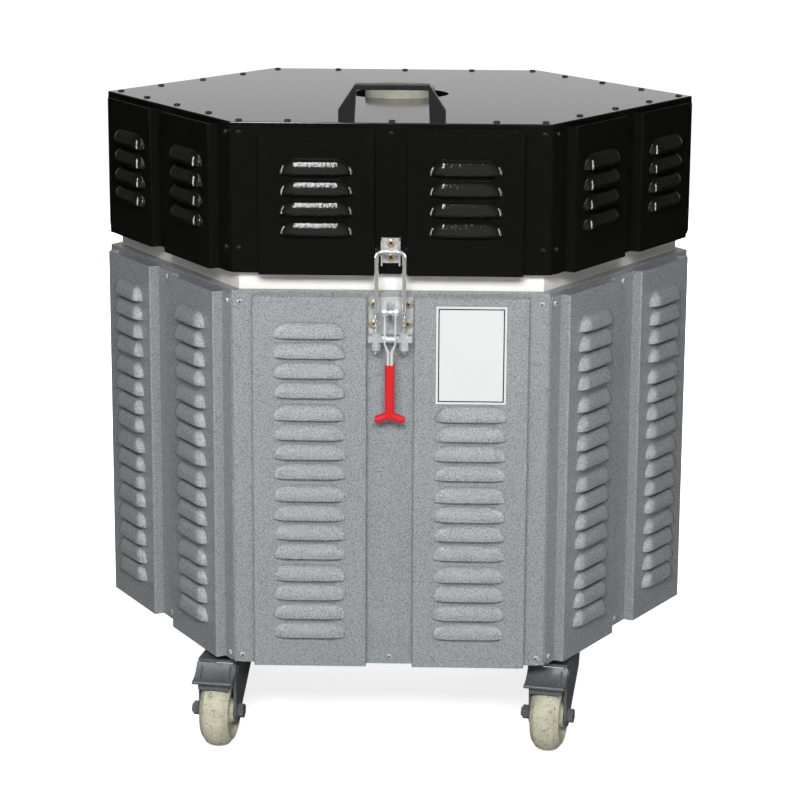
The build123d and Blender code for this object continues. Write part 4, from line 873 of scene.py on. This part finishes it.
# The studio: a pale floor that runs far back. The camera sees it as white, a little
# darker near the kiln, and gloss surfaces mirror it as dark.
half_floor = 15.0
glow_near = 0.80
glow_start = 0.6
glow_full = 1.6
mirrored_floor = (0.02, 0.02, 0.02, 1)
floor_mesh = bpy.data.meshes.new("studio floor")
floor_turns = ((-1, -1), (1, -1), (1, 1), (-1, 1))
floor_corners = [(half_floor * x, half_floor * y, 0) for x, y in floor_turns]
floor_mesh.from_pydata(floor_corners, [], [(0, 1, 2, 3)])
floor = bpy.data.objects.new("studio_floor", floor_mesh)
bpy.context.scene.collection.objects.link(floor)
floor_white, floor_tree, floor_shader = new_material("floor white", (0.82, 0.82, 0.82), roughness=0.9)
floor_shader.inputs["Specular IOR Level"].default_value = 0.0
path = floor_tree.nodes.new("ShaderNodeLightPath")
spread = floor_tree.nodes.new("ShaderNodeVectorMath")
spread.operation = "LENGTH"
floor_tree.links.new(object_space(floor_tree), spread.inputs[0])
fade = floor_tree.nodes.new("ShaderNodeMapRange")
fade.inputs["From Min"].default_value = glow_start
fade.inputs["From Max"].default_value = glow_full
fade.inputs["To Min"].default_value = glow_near
fade.inputs["To Max"].default_value = 1.0
floor_tree.links.new(spread.outputs["Value"], fade.inputs["Value"])
glow = floor_tree.nodes.new("ShaderNodeMath")
glow.operation = "MULTIPLY"
floor_tree.links.new(fade.outputs["Result"], glow.inputs[1])
floor_tree.links.new(path.outputs["Is Camera Ray"], glow.inputs[0])
floor_tree.links.new(glow.outputs[0], floor_shader.inputs["Emission Strength"])
floor_shader.inputs["Emission Color"].default_value = (1, 1, 1, 1)
dark = floor_tree.nodes.new("ShaderNodeBsdfDiffuse")
dark.inputs["Color"].default_value = mirrored_floor
choice = floor_tree.nodes.new("ShaderNodeMixShader")
floor_output = floor_tree.nodes["Material Output"]
floor_tree.links.new(path.outputs["Is Glossy Ray"], choice.inputs[0])
floor_tree.links.new(floor_shader.outputs[0], choice.inputs[1])
floor_tree.links.new(dark.outputs[0], choice.inputs[2])
floor_tree.links.new(choice.outputs[0], floor_output.inputs["Surface"])
floor.data.materials.append(floor_white)
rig.stage(floor)

# The room round the kiln: white to the camera and dim as a light. Gloss surfaces mirror
# a pale wall in front, a pale wall that darkens upwards behind, and dark sides.
ambient = 0.06
front_wall = 0.75
side_wall = 0.08
back_wall = [(0.0, 0.75), (0.093, 0.75), (0.12, 0.55), (0.3, 0.2), (1.0, 0.08)]
back_wall_edges = (0.8, 0.95)
front_wall_edges = (-0.95, -0.5)
world = bpy.data.worlds.new("studio room")
bpy.context.scene.world = world
world.use_nodes = True
room = world.node_tree
background = room.nodes["Background"]
background.inputs["Color"].default_value = (1, 1, 1, 1)
room_path = room.nodes.new("ShaderNodeLightPath")
direction = room.nodes.new("ShaderNodeTexCoord")
split = room.nodes.new("ShaderNodeSeparateXYZ")
room.links.new(direction.outputs["Generated"], split.inputs["Vector"])
behind = room.nodes.new("ShaderNodeMapRange")
behind.inputs["From Min"].default_value = back_wall_edges[0]
behind.inputs["From Max"].default_value = back_wall_edges[1]
room.links.new(split.outputs["Y"], behind.inputs["Value"])
height = room.nodes.new("ShaderNodeValToRGB")
levels = height.color_ramp.elements
for position, _ in back_wall[1:-1]:
    levels.new(position)
for level, (position, strength) in zip(levels, back_wall):
    level.position = position
    level.color = (strength, strength, strength, 1.0)
room.links.new(split.outputs["Z"], height.inputs["Fac"])
mirrored = room.nodes.new("ShaderNodeMix")
facing = room.nodes.new("ShaderNodeMapRange")
facing.inputs["From Min"].default_value = front_wall_edges[0]
facing.inputs["From Max"].default_value = front_wall_edges[1]
facing.inputs["To Min"].default_value = front_wall
facing.inputs["To Max"].default_value = side_wall
room.links.new(split.outputs["Y"], facing.inputs["Value"])
room.links.new(facing.outputs["Result"], mirrored.inputs["A"])
room.links.new(behind.outputs["Result"], mirrored.inputs["Factor"])
room.links.new(height.outputs["Color"], mirrored.inputs["B"])
glossy = room.nodes.new("ShaderNodeMix")
glossy.inputs["A"].default_value = ambient
room.links.new(room_path.outputs["Is Glossy Ray"], glossy.inputs["Factor"])
room.links.new(mirrored.outputs["Result"], glossy.inputs["B"])
seen = room.nodes.new("ShaderNodeMix")
seen.inputs["B"].default_value = 1.0
room.links.new(room_path.outputs["Is Camera Ray"], seen.inputs["Factor"])
room.links.new(glossy.outputs["Result"], seen.inputs["A"])
room.links.new(seen.outputs["Result"], background.inputs["Strength"])

# The lamps: five soft ones that light the surfaces, of which only the top one is
# mirrored, and three strips that are only mirrored, as glints on the gloss sheets. A row
# of the table has place, height looked at, width, height, watts, lights, is mirrored.
def soft_lamp(name, place, aim, width, height, power):
    data = bpy.data.lights.new(name, "AREA")
    data.shape = "RECTANGLE"
    data.size = width
    data.size_y = height
    data.energy = power
    lamp = bpy.data.objects.new(name, data)
    bpy.context.scene.collection.objects.link(lamp)
    lamp.location = place
    lamp.rotation_euler = (Vector(aim) - Vector(place)).to_track_quat("-Z", "Y").to_euler()
    return lamp


lamp_table = (
    ("front lamp", (0.0, -3.2, 1.9), 0.35, 1.6, 0.7, 168, True, False),
    ("left lamp", (-2.6, -1.2, 1.6), 0.4, 0.5, 1.6, 0.5, True, False),
    ("right lamp", (2.6, -1.2, 1.6), 0.4, 0.5, 1.6, 1, True, False),
    ("top lamp", (0, 0.6, 3.2), 0.5, 2.0, 2.0, 22, True, True),
    ("back lamp", (0.3, 3.2, 1.5), 0.35, 1.8, 1.2, 110, True, False),
    ("glint lamp", (-0.34, -2.6, 2.5), 0.5, 0.24, 1.5, 46, False, True),
    ("left strip", (-2.6, -0.7, 1.2), 0.5, 0.5, 1.5, 50, False, True),
    ("right strip", (2.6, -0.9, 1.2), 0.5, 0.45, 1.5, 45, False, True),
)
for name, place, aim_z, width, height_up, power, lights_surfaces, mirrored in lamp_table:
    lamp = soft_lamp(name, place, (0, 0, aim_z), width, height_up, power)
    lamp.visible_diffuse = lights_surfaces
    lamp.visible_glossy = mirrored

# The camera stands a little above the lid, in front and slightly to the right, at the
# height and distance that give the photograph's view.
camera_pitch = math.radians(12.974)
camera_yaw = math.radians(1.434)
camera_roll = math.radians(0.338)
camera_x, camera_y, camera_z = 0.0742, -2.8453, 0.9892
frame_pixels = 800
focal_pixels = 2513.88
sensor_mm = 36.0
heading = Vector((-math.sin(camera_yaw), math.cos(camera_yaw), 0))
forward = heading * math.cos(camera_pitch) - Vector((0, 0, math.sin(camera_pitch)))
level_right = forward.cross(Vector((0, 0, 1))).normalized()
level_up = level_right.cross(forward)
right = level_right * math.cos(camera_roll) + level_up * math.sin(camera_roll)
up = level_up * math.cos(camera_roll) - level_right * math.sin(camera_roll)
camera_data = bpy.data.cameras.new("view camera")
camera_data.sensor_width = sensor_mm
camera_data.lens = focal_pixels / frame_pixels * sensor_mm
camera_data.clip_end = 100.0
camera = bpy.data.objects.new("view camera", camera_data)
bpy.context.scene.collection.objects.link(camera)
turned = Matrix((right, up, -forward)).transposed()
camera_place = Vector((camera_x, camera_y + kiln_middle_y, camera_z))
camera.matrix_world = Matrix.Translation(camera_place) @ turned.to_4x4()
bpy.context.scene.camera = camera
bpy.context.scene.view_settings.view_transform = "Standard"

with open("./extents.json", "r") as size_file:
    sizes = json.load(size_file)
sizes["dressed"] = [list(corner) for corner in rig.bounds()]
with open("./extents.json", "w") as size_file:
    json.dump(sizes, size_file)
